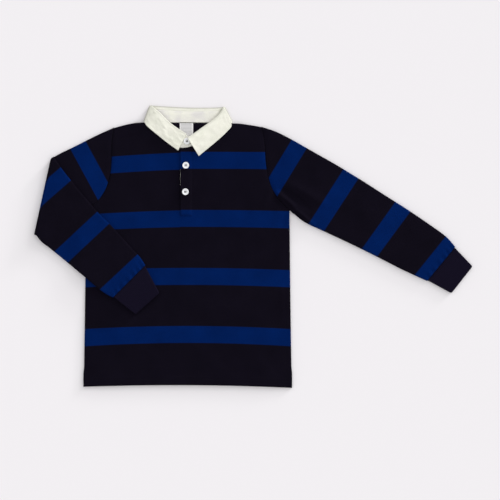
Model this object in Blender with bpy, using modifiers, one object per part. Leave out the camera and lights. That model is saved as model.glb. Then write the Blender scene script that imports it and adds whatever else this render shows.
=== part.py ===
"""Child's long-sleeve rugby shirt, laid flat face up, with its right sleeve folded across the body.

Metres, +Z up. +Y runs towards the collar, and +X to the wearer's left, which is right in a view
from above. The origin is on the floor under the back panel, on the centre line and midway from
collar to hem. Left and right in the names are the wearer's.
"""

import math
from collections import namedtuple

import bmesh
import bpy
from mathutils import Vector

# Cloth thicknesses, and the gap that seamed edges and stacked layers keep
JERSEY = 0.0013
TWILL = 0.0013
RIB_KNIT = 0.0015
WOVEN_LABEL = 0.0006
GAP = 0.0004
SEAM = 0.0005

# Body panels
HALF_HEM = 0.1772
HEM_Y = -0.2400
HEM_RISE = 0.0038
ARMPIT_Y = 0.0600
BACK_NECK_RISE = 0.0023
PANEL_CELL = 0.0150
PILLOW = 0.0014
SIDE_EASE = 0.0450
SHOULDER_EASE = 0.0400

Point = namedtuple("Point", "x y")

# Seams between body and sleeves, from the shoulder tip down to the armpit
LEFT_ARMHOLE = [
    Point(0.1260, 0.2018),
    Point(0.1306, 0.1740),
    Point(0.1322, 0.1450),
    Point(0.1358, 0.1200),
    Point(0.1430, 0.0970),
    Point(0.1560, 0.0775),
    Point(0.1742, 0.0600),
]
RIGHT_ARMHOLE = [
    Point(-0.1260, 0.2018),
    Point(-0.1304, 0.1740),
    Point(-0.1316, 0.1450),
    Point(-0.1338, 0.1200),
    Point(-0.1400, 0.0960),
    Point(-0.1530, 0.0760),
    Point(-0.1742, 0.0600),
]
# Side seam below the armpit, down to the slit at the hem and the corner that stands out below it
SIDE = [
    Point(0.1746, 0.0000),
    Point(0.1752, -0.1000),
    Point(0.1756, -0.2060),
    Point(0.1772, -0.2150),
]
# Shoulder seam, from the shoulder tip to the neck point
SHOULDER = [
    Point(0.1260, 0.2018),
    Point(0.1080, 0.2052),
    Point(0.0885, 0.2078),
    Point(0.0710, 0.2082),
]
# Front neck seam, from the right neck point to the left one
FRONT_NECK = [
    Point(-0.0710, 0.2082),
    Point(-0.0600, 0.2010),
    Point(-0.0360, 0.1850),
    Point(-0.0200, 0.1712),
    Point(-0.0115, 0.1658),
    Point(0.0000, 0.1668),
    Point(0.0090, 0.1700),
    Point(0.0340, 0.1850),
    Point(0.0600, 0.2010),
    Point(0.0710, 0.2082),
]

# The collar folds flat along a slanting line at each side of the neck, round this height
FOLD_HEIGHT = 0.0036
LEAF_INNER = FOLD_HEIGHT - TWILL
STAND_INNER = LEAF_INNER - GAP - TWILL
NECK_UNDER = FOLD_HEIGHT + STAND_INNER
NECK_BLEND = 0.0400
# The back of the collar leaf lies under the back panel, which it raises here
RAISE = TWILL + GAP
RAISE_FROM_Y = 0.1700
RAISE_FULL_Y = 0.2020
RAISE_IN_X = 0.0760
RAISE_OUT_X = 0.1080

# Placket strip over the front slit, and the slit
PLACKET_LEFT_X = -0.0124
PLACKET_RIGHT_X = 0.0076
PLACKET_LOW_Y = 0.0505
SLIT_X = -0.0030
SLIT_WIDTH = 0.0010
SLIT_LOW_Y = 0.0620

# Neck label on the inside of the back
LABEL_CENTRE_X = -0.0020
LABEL_WIDTH = 0.0235
LABEL_TOP_Y = 0.2098
LABEL_LENGTH = 0.0270

# Sleeves, flattened tubes
SLEEVE_HEIGHT = 0.0044
ARMHOLE_STEPS = 2
SLEEVE_ACROSS = ARMHOLE_STEPS * (len(LEFT_ARMHOLE) - 1)
SLEEVE_STEPS = 2
FOLD_CLEARANCE = 0.0006
FOLD_STEPS = 6
DROOP = 0.0034
DROOP_RUN = 0.0300
DROOP_MARGIN = 0.0025
EDGE_MASK = 0.0100

# Cuffs, ribbed tubes
CUFF_HEIGHT = 0.0040
CUFF_EASE = 0.0014
CUFF_RIBS = 30
RIB_RISE = 0.0002
CUFF_STEPS = 3

# Buttons
BUTTON_RADIUS = 0.0062
BUTTON_HEIGHT = 0.0022
BUTTON_RIM = 0.0012
BUTTON_DISH = 0.0006
BUTTON_HOLE_RADIUS = 0.0008
BUTTON_HOLE_SPREAD = 0.0014
BUTTON_SIDES = 20
BUTTON_PLACES = [
    Point(0.0002, 0.1774),
    Point(-0.0034, 0.1372),
    Point(-0.0039, 0.0921),
]

Ridge = namedtuple("Ridge", "start_x start_y end_x end_y width height")

# Soft folds that stand up from the front panel
FRONT_RIDGES = [
    Ridge(0.1700, 0.0560, 0.1250, 0.0100, 0.0110, 0.0016),
    Ridge(0.1630, 0.0200, 0.1540, -0.0700, 0.0090, 0.0009),
    Ridge(0.0600, 0.1650, 0.0950, 0.1050, 0.0160, 0.0008),
    Ridge(-0.0850, 0.1700, -0.1120, 0.1300, 0.0140, 0.0007),
    Ridge(0.0200, -0.0900, 0.1150, -0.1150, 0.0170, 0.0009),
    Ridge(-0.1200, -0.1550, -0.0300, -0.1450, 0.0180, 0.0008),
    Ridge(0.1050, -0.1700, 0.1450, -0.2250, 0.0140, 0.0009),
]
# Soft folds of the left sleeve, the largest at the underarm
LEFT_SLEEVE_RIDGES = [
    Ridge(0.1560, 0.0930, 0.2080, 0.0520, 0.0075, 0.0022),
    Ridge(0.1720, 0.1010, 0.2450, 0.0620, 0.0100, 0.0014),
    Ridge(0.1500, 0.1750, 0.1850, 0.1400, 0.0120, 0.0008),
    Ridge(0.2900, 0.0750, 0.3300, 0.0250, 0.0130, 0.0008),
    Ridge(0.4250, 0.0100, 0.3850, -0.0300, 0.0080, 0.0010),
]
# Soft folds of the forearm that lies on top
FOREARM_RIDGES = [
    Ridge(-0.2180, 0.1150, -0.2350, 0.0500, 0.0110, 0.0010),
    Ridge(-0.1950, 0.0300, -0.1650, -0.0150, 0.0120, 0.0009),
    Ridge(-0.1250, -0.0150, -0.1050, -0.0600, 0.0090, 0.0009),
]

Section = namedtuple("Section", "upper_x upper_y lower_x lower_y bulge")

# Left sleeve: where each cross line meets its upper and lower edge. Bulge is the share of the
# armhole's curve that the line still follows.
LEFT_SLEEVE = [
    Section(0.1266, 0.2020, 0.1748, 0.0595, 1.00),
    Section(0.1500, 0.1946, 0.1790, 0.0555, 0.74),
    Section(0.1750, 0.1828, 0.1852, 0.0502, 0.50),
    Section(0.2000, 0.1681, 0.1930, 0.0442, 0.30),
    Section(0.2250, 0.1537, 0.2028, 0.0381, 0.14),
    Section(0.2500, 0.1391, 0.2133, 0.0329, 0.04),
    Section(0.2750, 0.1240, 0.2258, 0.0271, 0.00),
    Section(0.3000, 0.1086, 0.2478, 0.0166, 0.00),
    Section(0.3377, 0.0844, 0.2828, 0.0001, 0.00),
    Section(0.3752, 0.0606, 0.3188, -0.0176, 0.00),
    Section(0.4132, 0.0346, 0.3568, -0.0371, 0.00),
    Section(0.4386, 0.0164, 0.3848, -0.0505, 0.00),
    Section(0.4542, -0.0014, 0.4064, -0.0596, 0.00),
]
LEFT_CUFF_END = Section(0.4838, -0.0344, 0.4478, -0.0790, 0.00)

# Right sleeve, its upper arm on the floor, from the armhole to the fold at the elbow
RIGHT_UPPER_ARM = [
    Section(-0.1266, 0.2020, -0.1748, 0.0595, 1.00),
    Section(-0.1500, 0.1910, -0.1850, 0.0535, 0.70),
    Section(-0.1740, 0.1789, -0.2000, 0.0455, 0.40),
    Section(-0.1960, 0.1677, -0.2180, 0.0365, 0.18),
    Section(-0.2130, 0.1590, -0.2380, 0.0265, 0.05),
    Section(-0.2270, 0.1514, -0.2563, 0.0180, 0.00),
]
# The forearm, turned over on top of it, from the fold to the cuff
RIGHT_FOREARM = [
    Section(-0.2270, 0.1514, -0.2563, 0.0180, 0.00),
    Section(-0.2140, 0.1320, -0.2482, 0.0066, 0.00),
    Section(-0.2000, 0.1140, -0.2350, -0.0046, 0.00),
    Section(-0.1830, 0.0935, -0.2211, -0.0160, 0.00),
    Section(-0.1660, 0.0733, -0.2071, -0.0272, 0.00),
    Section(-0.1506, 0.0553, -0.1936, -0.0385, 0.00),
    Section(-0.1320, 0.0370, -0.1794, -0.0505, 0.00),
    Section(-0.1140, 0.0175, -0.1644, -0.0621, 0.00),
    Section(-0.0970, -0.0010, -0.1498, -0.0733, 0.00),
    Section(-0.0818, -0.0178, -0.1372, -0.0820, 0.00),
    Section(-0.0716, -0.0325, -0.1266, -0.0874, 0.00),
]
RIGHT_CUFF_END = Section(-0.0478, -0.0793, -0.0884, -0.1160, 0.00)

Band = namedtuple("Band", "roll_x roll_y edge_x edge_y")

# Collar: where each cross line meets the roll line at the top and the band's other edge
LEFT_CORNER = Band(0.0595, 0.2360, 0.0722, 0.2090)
RIGHT_CORNER = Band(-0.0614, 0.2385, -0.0711, 0.2092)
LEFT_LEAF_FRONT = [
    Band(0.0006, 0.1842, 0.0192, 0.1534),
    Band(0.0075, 0.1894, 0.0270, 0.1604),
    Band(0.0210, 0.1988, 0.0420, 0.1736),
    Band(0.0355, 0.2090, 0.0565, 0.1862),
    Band(0.0488, 0.2196, 0.0680, 0.1962),
    Band(0.0560, 0.2278, 0.0735, 0.2026),
    LEFT_CORNER,
]
RIGHT_LEAF_FRONT = [
    RIGHT_CORNER,
    Band(-0.0560, 0.2335, -0.0680, 0.2050),
    Band(-0.0470, 0.2262, -0.0570, 0.1960),
    Band(-0.0330, 0.2136, -0.0420, 0.1836),
    Band(-0.0190, 0.2028, -0.0290, 0.1724),
    Band(-0.0028, 0.1906, -0.0163, 0.1620),
]
LEAF_BACK = [
    LEFT_CORNER,
    Band(0.0480, 0.2352, 0.0560, 0.2062),
    Band(0.0250, 0.2347, 0.0250, 0.2038),
    Band(0.0000, 0.2350, 0.0000, 0.2032),
    Band(-0.0250, 0.2362, -0.0250, 0.2038),
    Band(-0.0500, 0.2378, -0.0560, 0.2062),
    RIGHT_CORNER,
]
LEFT_LEAF_LIFT = 0.0032
RIGHT_LEAF_LIFT = 0.0010
BAND_SHARES = [0.0, 0.25, 0.5, 0.75, 1.0]
CORNER_STEPS = 6
# Stand: roll line points, and how far along the neck seam each cross line ends
STAND_FRONT_LEFT = [
    Band(-0.0112, 0.1954, -0.0122, None),
    Band(-0.0030, 0.1895, -0.0045, None),
    Band(0.0040, 0.1870, 0.0070, None),
    Band(0.0210, 0.1980, 0.0270, None),
    Band(0.0355, 0.2082, 0.0430, None),
    Band(0.0488, 0.2190, 0.0580, None),
    LEFT_CORNER,
]
STAND_FRONT_RIGHT = [
    RIGHT_CORNER,
    Band(-0.0470, 0.2254, -0.0560, None),
    Band(-0.0330, 0.2128, -0.0410, None),
    Band(-0.0190, 0.2020, -0.0240, None),
    Band(-0.0118, 0.1959, -0.0128, None),
]
STAND_BACK = [
    LEFT_CORNER,
    Band(0.0480, 0.2352, 0.0550, 0.2103),
    Band(0.0000, 0.2350, 0.0000, 0.2111),
    Band(-0.0500, 0.2378, -0.0550, 0.2103),
    RIGHT_CORNER,
]

Finish = namedtuple("Finish", "colour roughness")

NAVY_JERSEY = Finish((0.0056, 0.0045, 0.0094), 0.92)
NAVY_RIB = Finish((0.0075, 0.0066, 0.0130), 0.90)
CREAM_TWILL = Finish((0.80, 0.79, 0.71), 0.85)
WHITE_SATIN = Finish((0.72, 0.71, 0.70), 0.60)
WHITE_RESIN = Finish((0.85, 0.86, 0.88), 0.30)


def ease(share):
    """0 below 0, 1 above 1, and a smooth rise between."""
    share = min(max(share, 0.0), 1.0)
    return share * share * (3.0 - 2.0 * share)


def mirrored(points):
    """The same points across the centre line, in the other order."""
    return [Point(-p.x, p.y) for p in reversed(points)]


def smooth_path(rows, steps):
    """Rows of numbers on one smooth curve through the given rows, with steps to each span."""
    path = []
    for i in range(len(rows) - 1):
        before, here = rows[max(i - 1, 0)], rows[i]
        there, after = rows[i + 1], rows[min(i + 2, len(rows) - 1)]
        for step in range(steps):
            t = step / steps
            path.append(
                type(here)(
                    *(
                        b
                        + 0.5 * t * ((c - a) + t * ((2 * a - 5 * b + 4 * c - d) + t * (3 * (b - c) + d - a)))
                        for a, b, c, d in zip(before, here, there, after)
                    )
                )
            )
    path.append(rows[-1])
    return path


def along(path, share):
    """The point at a share of a path's points, counted from its start."""
    at = min(max(share, 0.0), 1.0) * (len(path) - 1)
    i = min(int(at), len(path) - 2)
    return Vector(path[i]).lerp(Vector(path[i + 1]), at - i)


LEFT_ARMHOLE_PATH = smooth_path(LEFT_ARMHOLE, ARMHOLE_STEPS)
RIGHT_ARMHOLE_PATH = smooth_path(RIGHT_ARMHOLE, ARMHOLE_STEPS)
SHOULDER_PATH = smooth_path(SHOULDER, 2)
FRONT_NECK_PATH = smooth_path(FRONT_NECK, 3)


def distance_to_segment(x, y, start_x, start_y, end_x, end_y):
    """(distance to a straight segment, share of its length at the nearest point)."""
    run_x, run_y = end_x - start_x, end_y - start_y
    share = ((x - start_x) * run_x + (y - start_y) * run_y) / (run_x**2 + run_y**2)
    near = min(max(share, 0.0), 1.0)
    return math.hypot(x - start_x - near * run_x, y - start_y - near * run_y), near


def ridges_at(x, y, ridges):
    """Height of the soft folds at a point: each is rounded across and fades at its ends."""
    total = 0.0
    for ridge in ridges:
        away, share = distance_to_segment(x, y, *ridge[:4])
        total += ridge.height * math.exp(-((away / ridge.width) ** 2)) * math.sin(math.pi * (0.15 + 0.7 * share))
    return total


def front_neck_y(x):
    """Height of the front neck seam on the panel, in Y, at a distance from the centre line."""
    for left, right in zip(FRONT_NECK_PATH, FRONT_NECK_PATH[1:]):
        if left.x <= x <= right.x:
            return left.y + (right.y - left.y) * (x - left.x) / (right.x - left.x)
    return FRONT_NECK_PATH[0].y


def shoulder_y(x):
    reach = abs(x)
    for outer, inner in zip(SHOULDER_PATH, SHOULDER_PATH[1:]):
        if inner.x <= reach <= outer.x:
            return inner.y + (outer.y - inner.y) * (reach - inner.x) / (outer.x - inner.x)
    return SHOULDER_PATH[-1].y if reach < SHOULDER_PATH[-1].x else SHOULDER_PATH[0].y


def back_under(x, y):
    """Underside of the back panel: flat on the floor, and raised over the collar leaf."""
    up = ease((y - RAISE_FROM_Y) / (RAISE_FULL_Y - RAISE_FROM_Y))
    return RAISE * up * ease((RAISE_OUT_X - abs(x)) / (RAISE_OUT_X - RAISE_IN_X))


def front_under(x, y):
    """Underside of the front panel: it fills out between its seams and meets the collar stand."""
    side = ease((SIDE[0].x - abs(x)) / SIDE_EASE)
    beside_armhole = ease((y - ARMPIT_Y + SIDE_EASE) / SIDE_EASE)
    side = side + (1.0 - side) * beside_armhole
    shoulder = ease((shoulder_y(x) - y) / SHOULDER_EASE)
    fill = PILLOW * side * shoulder + ridges_at(x, y, FRONT_RIDGES) * side * shoulder
    body = back_under(x, y) + JERSEY + GAP + fill
    inside_neck = abs(x) < FRONT_NECK_PATH[-1].x and y > front_neck_y(x)
    away = 0.0 if inside_neck else min(
        distance_to_segment(x, y, *a, *b)[0] for a, b in zip(FRONT_NECK_PATH, FRONT_NECK_PATH[1:])
    )
    near_neck = ease(1.0 - (away - 0.5 * TWILL) / NECK_BLEND)
    return body + (NECK_UNDER - body) * near_neck


def front_top(x, y):
    return front_under(x, y) + JERSEY


def body_outline(neck):
    """Anticlockwise outline of a body panel, with its hem, side vents, armholes, shoulders and neck."""
    hem_steps = 12
    hem = []
    for i in range(hem_steps + 1):
        x = HALF_HEM * (2.0 * i / hem_steps - 1.0)
        hem.append(Point(x, HEM_Y + HEM_RISE * (1.0 - (x / HALF_HEM) ** 2)))
    left_half = SIDE[::-1] + LEFT_ARMHOLE_PATH[::-1] + SHOULDER_PATH[1:]
    right_half = mirrored(SHOULDER_PATH[1:]) + RIGHT_ARMHOLE_PATH + mirrored(SIDE[::-1])
    return hem + left_half + neck + right_half


def grid_panel(name, outline, cell, under, thickness, finish):
    """A cloth panel: a flat outline cut into cells, laid on a height, and thickened upwards."""
    bm = bmesh.new()
    bm.faces.new([bm.verts.new((p.x, p.y, 0.0)) for p in outline])
    for axis in (0, 1):
        low = math.ceil(min(p[axis] for p in outline) / cell)
        high = math.floor(max(p[axis] for p in outline) / cell)
        normal = Vector((axis == 0, axis == 1, 0))
        for line in range(low, high + 1):
            bmesh.ops.bisect_plane(
                bm,
                geom=bm.verts[:] + bm.edges[:] + bm.faces[:],
                dist=1e-6,
                plane_co=normal * (line * cell),
                plane_no=normal,
            )
    bmesh.ops.remove_doubles(bm, verts=bm.verts, dist=0.1 * JERSEY)
    bmesh.ops.triangulate(bm, faces=bm.faces)
    for vertex in bm.verts:
        vertex.co.z = under(vertex.co.x, vertex.co.y)
    made = bmesh.ops.extrude_face_region(bm, geom=bm.faces[:])
    for item in made["geom"]:
        if isinstance(item, bmesh.types.BMVert):
            item.co.z += thickness
    return finished(name, bm, finish)


def loft(name, loops, finish, cyclic):
    """A solid through closed loops of equal count: joined end to start, or capped at both ends."""
    bm = bmesh.new()
    rings = [[bm.verts.new(point) for point in loop] for loop in loops]
    pairs = list(zip(rings, rings[1:] + rings[:1])) if cyclic else list(zip(rings, rings[1:]))
    for ring, following in pairs:
        count = len(ring)
        for k in range(count):
            bm.faces.new((ring[k], ring[(k + 1) % count], following[(k + 1) % count], following[k]))
    if not cyclic:
        bm.faces.new(rings[0][::-1])
        bm.faces.new(rings[-1])
    return finished(name, bm, finish)


def finished(name, bm, finish):
    """The object of a closed bmesh, with its faces outwards and its own material."""
    bmesh.ops.recalc_face_normals(bm, faces=bm.faces)
    mesh = bpy.data.meshes.new(name)
    bm.to_mesh(mesh)
    bm.free()
    return placed(name, mesh, finish)


def placed(name, mesh, finish):
    piece = bpy.data.objects.new(name, mesh)
    SHIRT.objects.link(piece)
    material = bpy.data.materials.new(name)
    material.use_nodes = True
    shader = material.node_tree.nodes["Principled BSDF"]
    shader.inputs["Base Color"].default_value = (*finish.colour, 1.0)
    shader.inputs["Roughness"].default_value = finish.roughness
    shader.inputs["Metallic"].default_value = 0.0
    mesh.materials.clear()
    mesh.materials.append(material)
    mesh.shade_smooth()
    mesh.set_sharp_from_angle(angle=math.radians(40))
    return piece


def make_body():
    """Back panel on the floor, and the front panel with its neck and placket slit on top of it."""
    back_neck = []
    steps = 10
    neck_x, neck_y = SHOULDER[-1]
    for i in range(1, steps):
        x = neck_x * (1.0 - 2.0 * i / steps)
        back_neck.append(Point(x, neck_y + BACK_NECK_RISE * (1.0 - (x / neck_x) ** 4)))
    grid_panel("back", body_outline(back_neck), PANEL_CELL, back_under, JERSEY, NAVY_JERSEY)

    slit_left, slit_right = SLIT_X - SLIT_WIDTH / 2, SLIT_X + SLIT_WIDTH / 2
    slit = [
        Point(slit_right, front_neck_y(slit_right)),
        Point(slit_right, SLIT_LOW_Y),
        Point(slit_left, SLIT_LOW_Y),
        Point(slit_left, front_neck_y(slit_left)),
    ]
    neck = FRONT_NECK_PATH[::-1][1:-1]
    front_neck = (
        [p for p in neck if p.x > slit_right + SLIT_WIDTH / 4]
        + slit
        + [p for p in neck if p.x < slit_left - SLIT_WIDTH / 4]
    )
    grid_panel("front", body_outline(front_neck), PANEL_CELL, front_under, JERSEY, NAVY_JERSEY)


def oval(width, height, inset, across):
    """Points (distance from the upper edge, height from the first side) round a flattened tube."""
    middle = height / 2
    radius = middle - inset
    diagonal = radius * math.sqrt(0.5)
    run = [middle + (width - height) * i / across for i in range(across + 1)]
    first_side = [(middle - diagonal, middle - diagonal)]
    first_side += [(a, middle - radius) for a in run]
    first_side += [(width - middle + diagonal, middle - diagonal)]
    second_side = [(a, height - h) for a, h in reversed(first_side)]
    return [(inset, middle), *first_side, (width - inset, middle), *second_side]


def cross_line(section, a, height):
    """Point in plan at a distance along a tube's cross line, which keeps part of the armhole's curve."""
    path = LEFT_ARMHOLE_PATH if section.upper_x > 0 else RIGHT_ARMHOLE_PATH
    width = length_of(section)
    share = min(max((a - height / 2) / (width - height), 0.0), 1.0)
    curve = along(path, share) - Vector(path[0]).lerp(Vector(path[-1]), share)
    return Vector(section[:2]).lerp(Vector(section[2:4]), a / width) + section.bulge * curve


def length_of(section):
    return (Vector(section[:2]) - Vector(section[2:4])).length


def edge_fade(a, width):
    """1 over most of a tube's width, and 0 at its two edges."""
    return ease(a / EDGE_MASK) * ease((width - a) / EDGE_MASK)


def floor_ring(section, inset, ridges):
    """Ring of a tube that lies on the floor, first side down."""
    width = length_of(section)
    ring = []
    for a, h in oval(width, SLEEVE_HEIGHT, inset, SLEEVE_ACROSS):
        place = cross_line(section, a, SLEEVE_HEIGHT)
        rise = ridges_at(*place, ridges) * edge_fade(a, width) if h > SLEEVE_HEIGHT / 2 else 0.0
        ring.append((place.x, place.y, h + rise))
    return ring


def fold_ring(section, inset, turn):
    """Ring on the elbow's fold line, turned by an angle about a line just above the lower layer."""
    width = length_of(section)
    axis_height = SLEEVE_HEIGHT + FOLD_CLEARANCE / 2
    run = (Vector(section[2:4]) - Vector(section[:2])).normalized()
    outward = Vector((run.y, -run.x))
    ring = []
    for a, h in oval(width, SLEEVE_HEIGHT, inset, SLEEVE_ACROSS):
        radius = axis_height - h
        place = cross_line(section, a, SLEEVE_HEIGHT) + outward * radius * math.sin(turn)
        ring.append((place.x, place.y, axis_height - radius * math.cos(turn)))
    return ring


def forearm_under(x, y):
    """Underside of the folded forearm: level on what it lies on, and drooping beside it."""
    tip, fold_low = RIGHT_UPPER_ARM[0], RIGHT_UPPER_ARM[-1]
    run = Vector(fold_low[2:4]) - Vector(tip[2:4])
    below_arm = (run.x * (y - tip.lower_y) - run.y * (x - tip.lower_x)) / run.length
    beside_body = -x - SIDE[0].x
    free = min(below_arm, beside_body) - DROOP_MARGIN
    return SLEEVE_HEIGHT + FOLD_CLEARANCE - DROOP * ease(free / DROOP_RUN)


def forearm_ring(section, inset):
    """Ring of the forearm, which has its first side up."""
    width = length_of(section)
    ring = []
    for a, h in oval(width, SLEEVE_HEIGHT, inset, SLEEVE_ACROSS):
        place = cross_line(section, a, SLEEVE_HEIGHT)
        rise = ridges_at(*place, FOREARM_RIDGES) * edge_fade(a, width) if h < SLEEVE_HEIGHT / 2 else 0.0
        ring.append((place.x, place.y, forearm_under(*place) + SLEEVE_HEIGHT - h + rise))
    return ring


def make_tube(name, ring_of, count, finish):
    """A tube's wall through rings: all the outer ones, then the inner ones back to the start."""
    outer = [ring_of(i, 0.0) for i in range(count)]
    inner = [ring_of(i, JERSEY) for i in range(count)]
    return loft(name, outer + inner[::-1], finish, cyclic=True)


def make_left_sleeve():
    """The straight sleeve, flat on the floor."""
    sections = smooth_path(LEFT_SLEEVE, SLEEVE_STEPS)
    make_tube(
        "sleeve_left",
        lambda i, inset: floor_ring(sections[i], inset, LEFT_SLEEVE_RIDGES),
        len(sections),
        NAVY_JERSEY,
    )


def make_right_sleeve():
    """The folded sleeve: its upper arm on the floor, the turn at the elbow, and the forearm on top."""
    lower = smooth_path(RIGHT_UPPER_ARM, SLEEVE_STEPS)
    upper = smooth_path(RIGHT_FOREARM, SLEEVE_STEPS)
    turns = [math.pi * i / FOLD_STEPS for i in range(1, FOLD_STEPS)]

    def ring_of(i, inset):
        if i < len(lower):
            return floor_ring(lower[i], inset, [])
        i -= len(lower)
        if i < len(turns):
            return fold_ring(lower[-1], inset, turns[i])
        return forearm_ring(upper[i - len(turns)], inset)

    make_tube("sleeve_right", ring_of, len(lower) + len(turns) + len(upper), NAVY_JERSEY)


def ribbed_oval(width, height, inset, ribs, rise):
    """Evenly spaced points round a flattened tube, every other one raised as a knitted rib."""
    middle = height / 2
    straight = width - height
    bend = math.pi * middle
    points = []
    for k in range(2 * ribs):
        at = (2 * straight + 2 * bend) * k / (2 * ribs)
        radius = middle - inset + (rise if k % 2 == 0 else 0.0)
        if at < straight:
            points.append((middle + at, middle - radius))
        elif at < straight + bend:
            turn = (at - straight) / middle
            points.append((width - middle + radius * math.sin(turn), middle - radius * math.cos(turn)))
        elif at < 2 * straight + bend:
            points.append((width - middle - (at - straight - bend), middle + radius))
        else:
            turn = (at - 2 * straight - bend) / middle
            points.append((middle - radius * math.sin(turn), middle + radius * math.cos(turn)))
    return points


def cuff_sections(sleeve_end, cuff_end):
    """Cross lines of a cuff: a seam's gap past the sleeve's end and a little narrower, to its own end."""
    upper, lower = Vector(sleeve_end[:2]), Vector(sleeve_end[2:4])
    far_upper, far_lower = Vector(cuff_end[:2]), Vector(cuff_end[2:4])
    run = (lower - upper).normalized()
    outward = Vector((run.y, -run.x))
    if outward.dot(far_upper + far_lower - upper - lower) < 0:
        outward.negate()
    upper = upper + outward * SEAM + run * CUFF_EASE
    lower = lower + outward * SEAM - run * CUFF_EASE
    rows = []
    for i in range(CUFF_STEPS + 1):
        share = i / CUFF_STEPS
        rows.append(Section(*upper.lerp(far_upper, share), *lower.lerp(far_lower, share), 0.0))
    return rows


def make_cuff(name, sleeve_end, cuff_end, under):
    """A cuff of rib knit: a flattened tube, ribbed outside and plain inside."""
    sections = cuff_sections(sleeve_end, cuff_end)
    loops = []
    for inset, rise in ((0.0, RIB_RISE), (RIB_KNIT, 0.0)):
        rings = []
        for section in sections:
            width = length_of(section)
            points = ribbed_oval(width, CUFF_HEIGHT, inset + rise, CUFF_RIBS, rise)
            ring = []
            for a, h in points:
                place = cross_line(section, a, CUFF_HEIGHT)
                ring.append((place.x, place.y, under(*place) + h))
            rings.append(ring)
        loops += rings if not loops else rings[::-1]
    loft(name, loops, NAVY_RIB, cyclic=True)


def neck_seam(band):
    """A stand row with its lower edge put just inside the front neck seam."""
    if band.edge_y is not None:
        return band
    return band._replace(edge_y=front_neck_y(band.edge_x) + 1.4 * SEAM)


def band_loop(band, thickness, place):
    """Closed loop round one cross line of the collar: along its underside, and back over its top."""
    roll, edge = Vector(band[:2]), Vector(band[2:])
    under = [place(roll.lerp(edge, share), share, 0.0) for share in BAND_SHARES]
    over = [place(roll.lerp(edge, share), share, thickness) for share in reversed(BAND_SHARES)]
    return under + over


def corner_loops(band, inner, outward_x, turns):
    """Loops where the collar folds over at the side of the neck, turned from front level to back."""
    run = (Vector(band[2:]) - Vector(band[:2])).normalized()
    outward = Vector((run.y, -run.x))
    if outward.x * outward_x < 0:
        outward.negate()
    loops = []
    for turn in turns:

        def place(point, share, h, turn=turn):
            radius = inner + h
            spot = point + outward * radius * math.sin(turn)
            return (spot.x, spot.y, FOLD_HEIGHT + radius * math.cos(turn))

        loops.append(band_loop(band, TWILL, place))
    return loops


def make_collar_band(name, fronts, back, inner, front_height):
    """A collar piece: left front, left fold, back, right fold and right front, in one strip."""
    left_front, right_front = fronts
    turns = [math.pi * i / CORNER_STEPS for i in range(1, CORNER_STEPS)]

    def on_top(rows, lift):
        loops = []
        for i, band in enumerate(rows):
            from_front = i / (len(rows) - 1)
            loops.append(
                band_loop(
                    band,
                    TWILL,
                    lambda point, share, h, u=from_front: (
                        point.x,
                        point.y,
                        front_height(point, share) + lift * (1 - share**2) * (1 - u) ** 2 + h,
                    ),
                )
            )
        return loops

    def under_back(point, share, h):
        return (point.x, point.y, FOLD_HEIGHT - inner - h)

    left_lift, right_lift = (LEFT_LEAF_LIFT, RIGHT_LEAF_LIFT) if name == "collar_leaf" else (0.0, 0.0)
    loops = on_top(left_front, left_lift)
    loops += corner_loops(LEFT_CORNER, inner, 1.0, turns)
    loops += [band_loop(band, TWILL, under_back) for band in back]
    loops += corner_loops(RIGHT_CORNER, inner, -1.0, turns[::-1])
    loops += on_top(right_front[::-1], right_lift)[::-1]
    loft(name, loops, CREAM_TWILL, cyclic=False)


def make_collar():
    """The stand, seamed to the neck, and the leaf that folds down over it all round."""

    def leaf_height(point, share):
        return front_top(point.x, point.y) + GAP

    def stand_height(point, share):
        return NECK_UNDER

    make_collar_band("collar_leaf", (LEFT_LEAF_FRONT, RIGHT_LEAF_FRONT), LEAF_BACK, LEAF_INNER, leaf_height)
    stand_fronts = ([neck_seam(b) for b in STAND_FRONT_LEFT], [neck_seam(b) for b in STAND_FRONT_RIGHT])
    make_collar_band("collar_stand", stand_fronts, STAND_BACK, STAND_INNER, stand_height)


def make_placket():
    """The strip that carries the buttonholes, over the front's slit."""
    outline = [
        Point(PLACKET_LEFT_X, PLACKET_LOW_Y),
        Point(PLACKET_RIGHT_X, PLACKET_LOW_Y),
        Point(PLACKET_RIGHT_X, front_neck_y(PLACKET_RIGHT_X)),
        Point(PLACKET_LEFT_X, front_neck_y(PLACKET_LEFT_X)),
    ]
    grid_panel("placket", outline, PANEL_CELL, lambda x, y: front_top(x, y) + GAP, JERSEY, NAVY_JERSEY)


def make_label():
    """Neck label, lying on the inside of the back just below the collar."""
    left, right = LABEL_CENTRE_X - LABEL_WIDTH / 2, LABEL_CENTRE_X + LABEL_WIDTH / 2
    low = LABEL_TOP_Y - LABEL_LENGTH
    outline = [Point(left, low), Point(right, low), Point(right, LABEL_TOP_Y), Point(left, LABEL_TOP_Y)]
    grid_panel(
        "neck_label",
        outline,
        PANEL_CELL,
        lambda x, y: back_under(x, y) + JERSEY + GAP,
        WOVEN_LABEL,
        WHITE_SATIN,
    )


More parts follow.
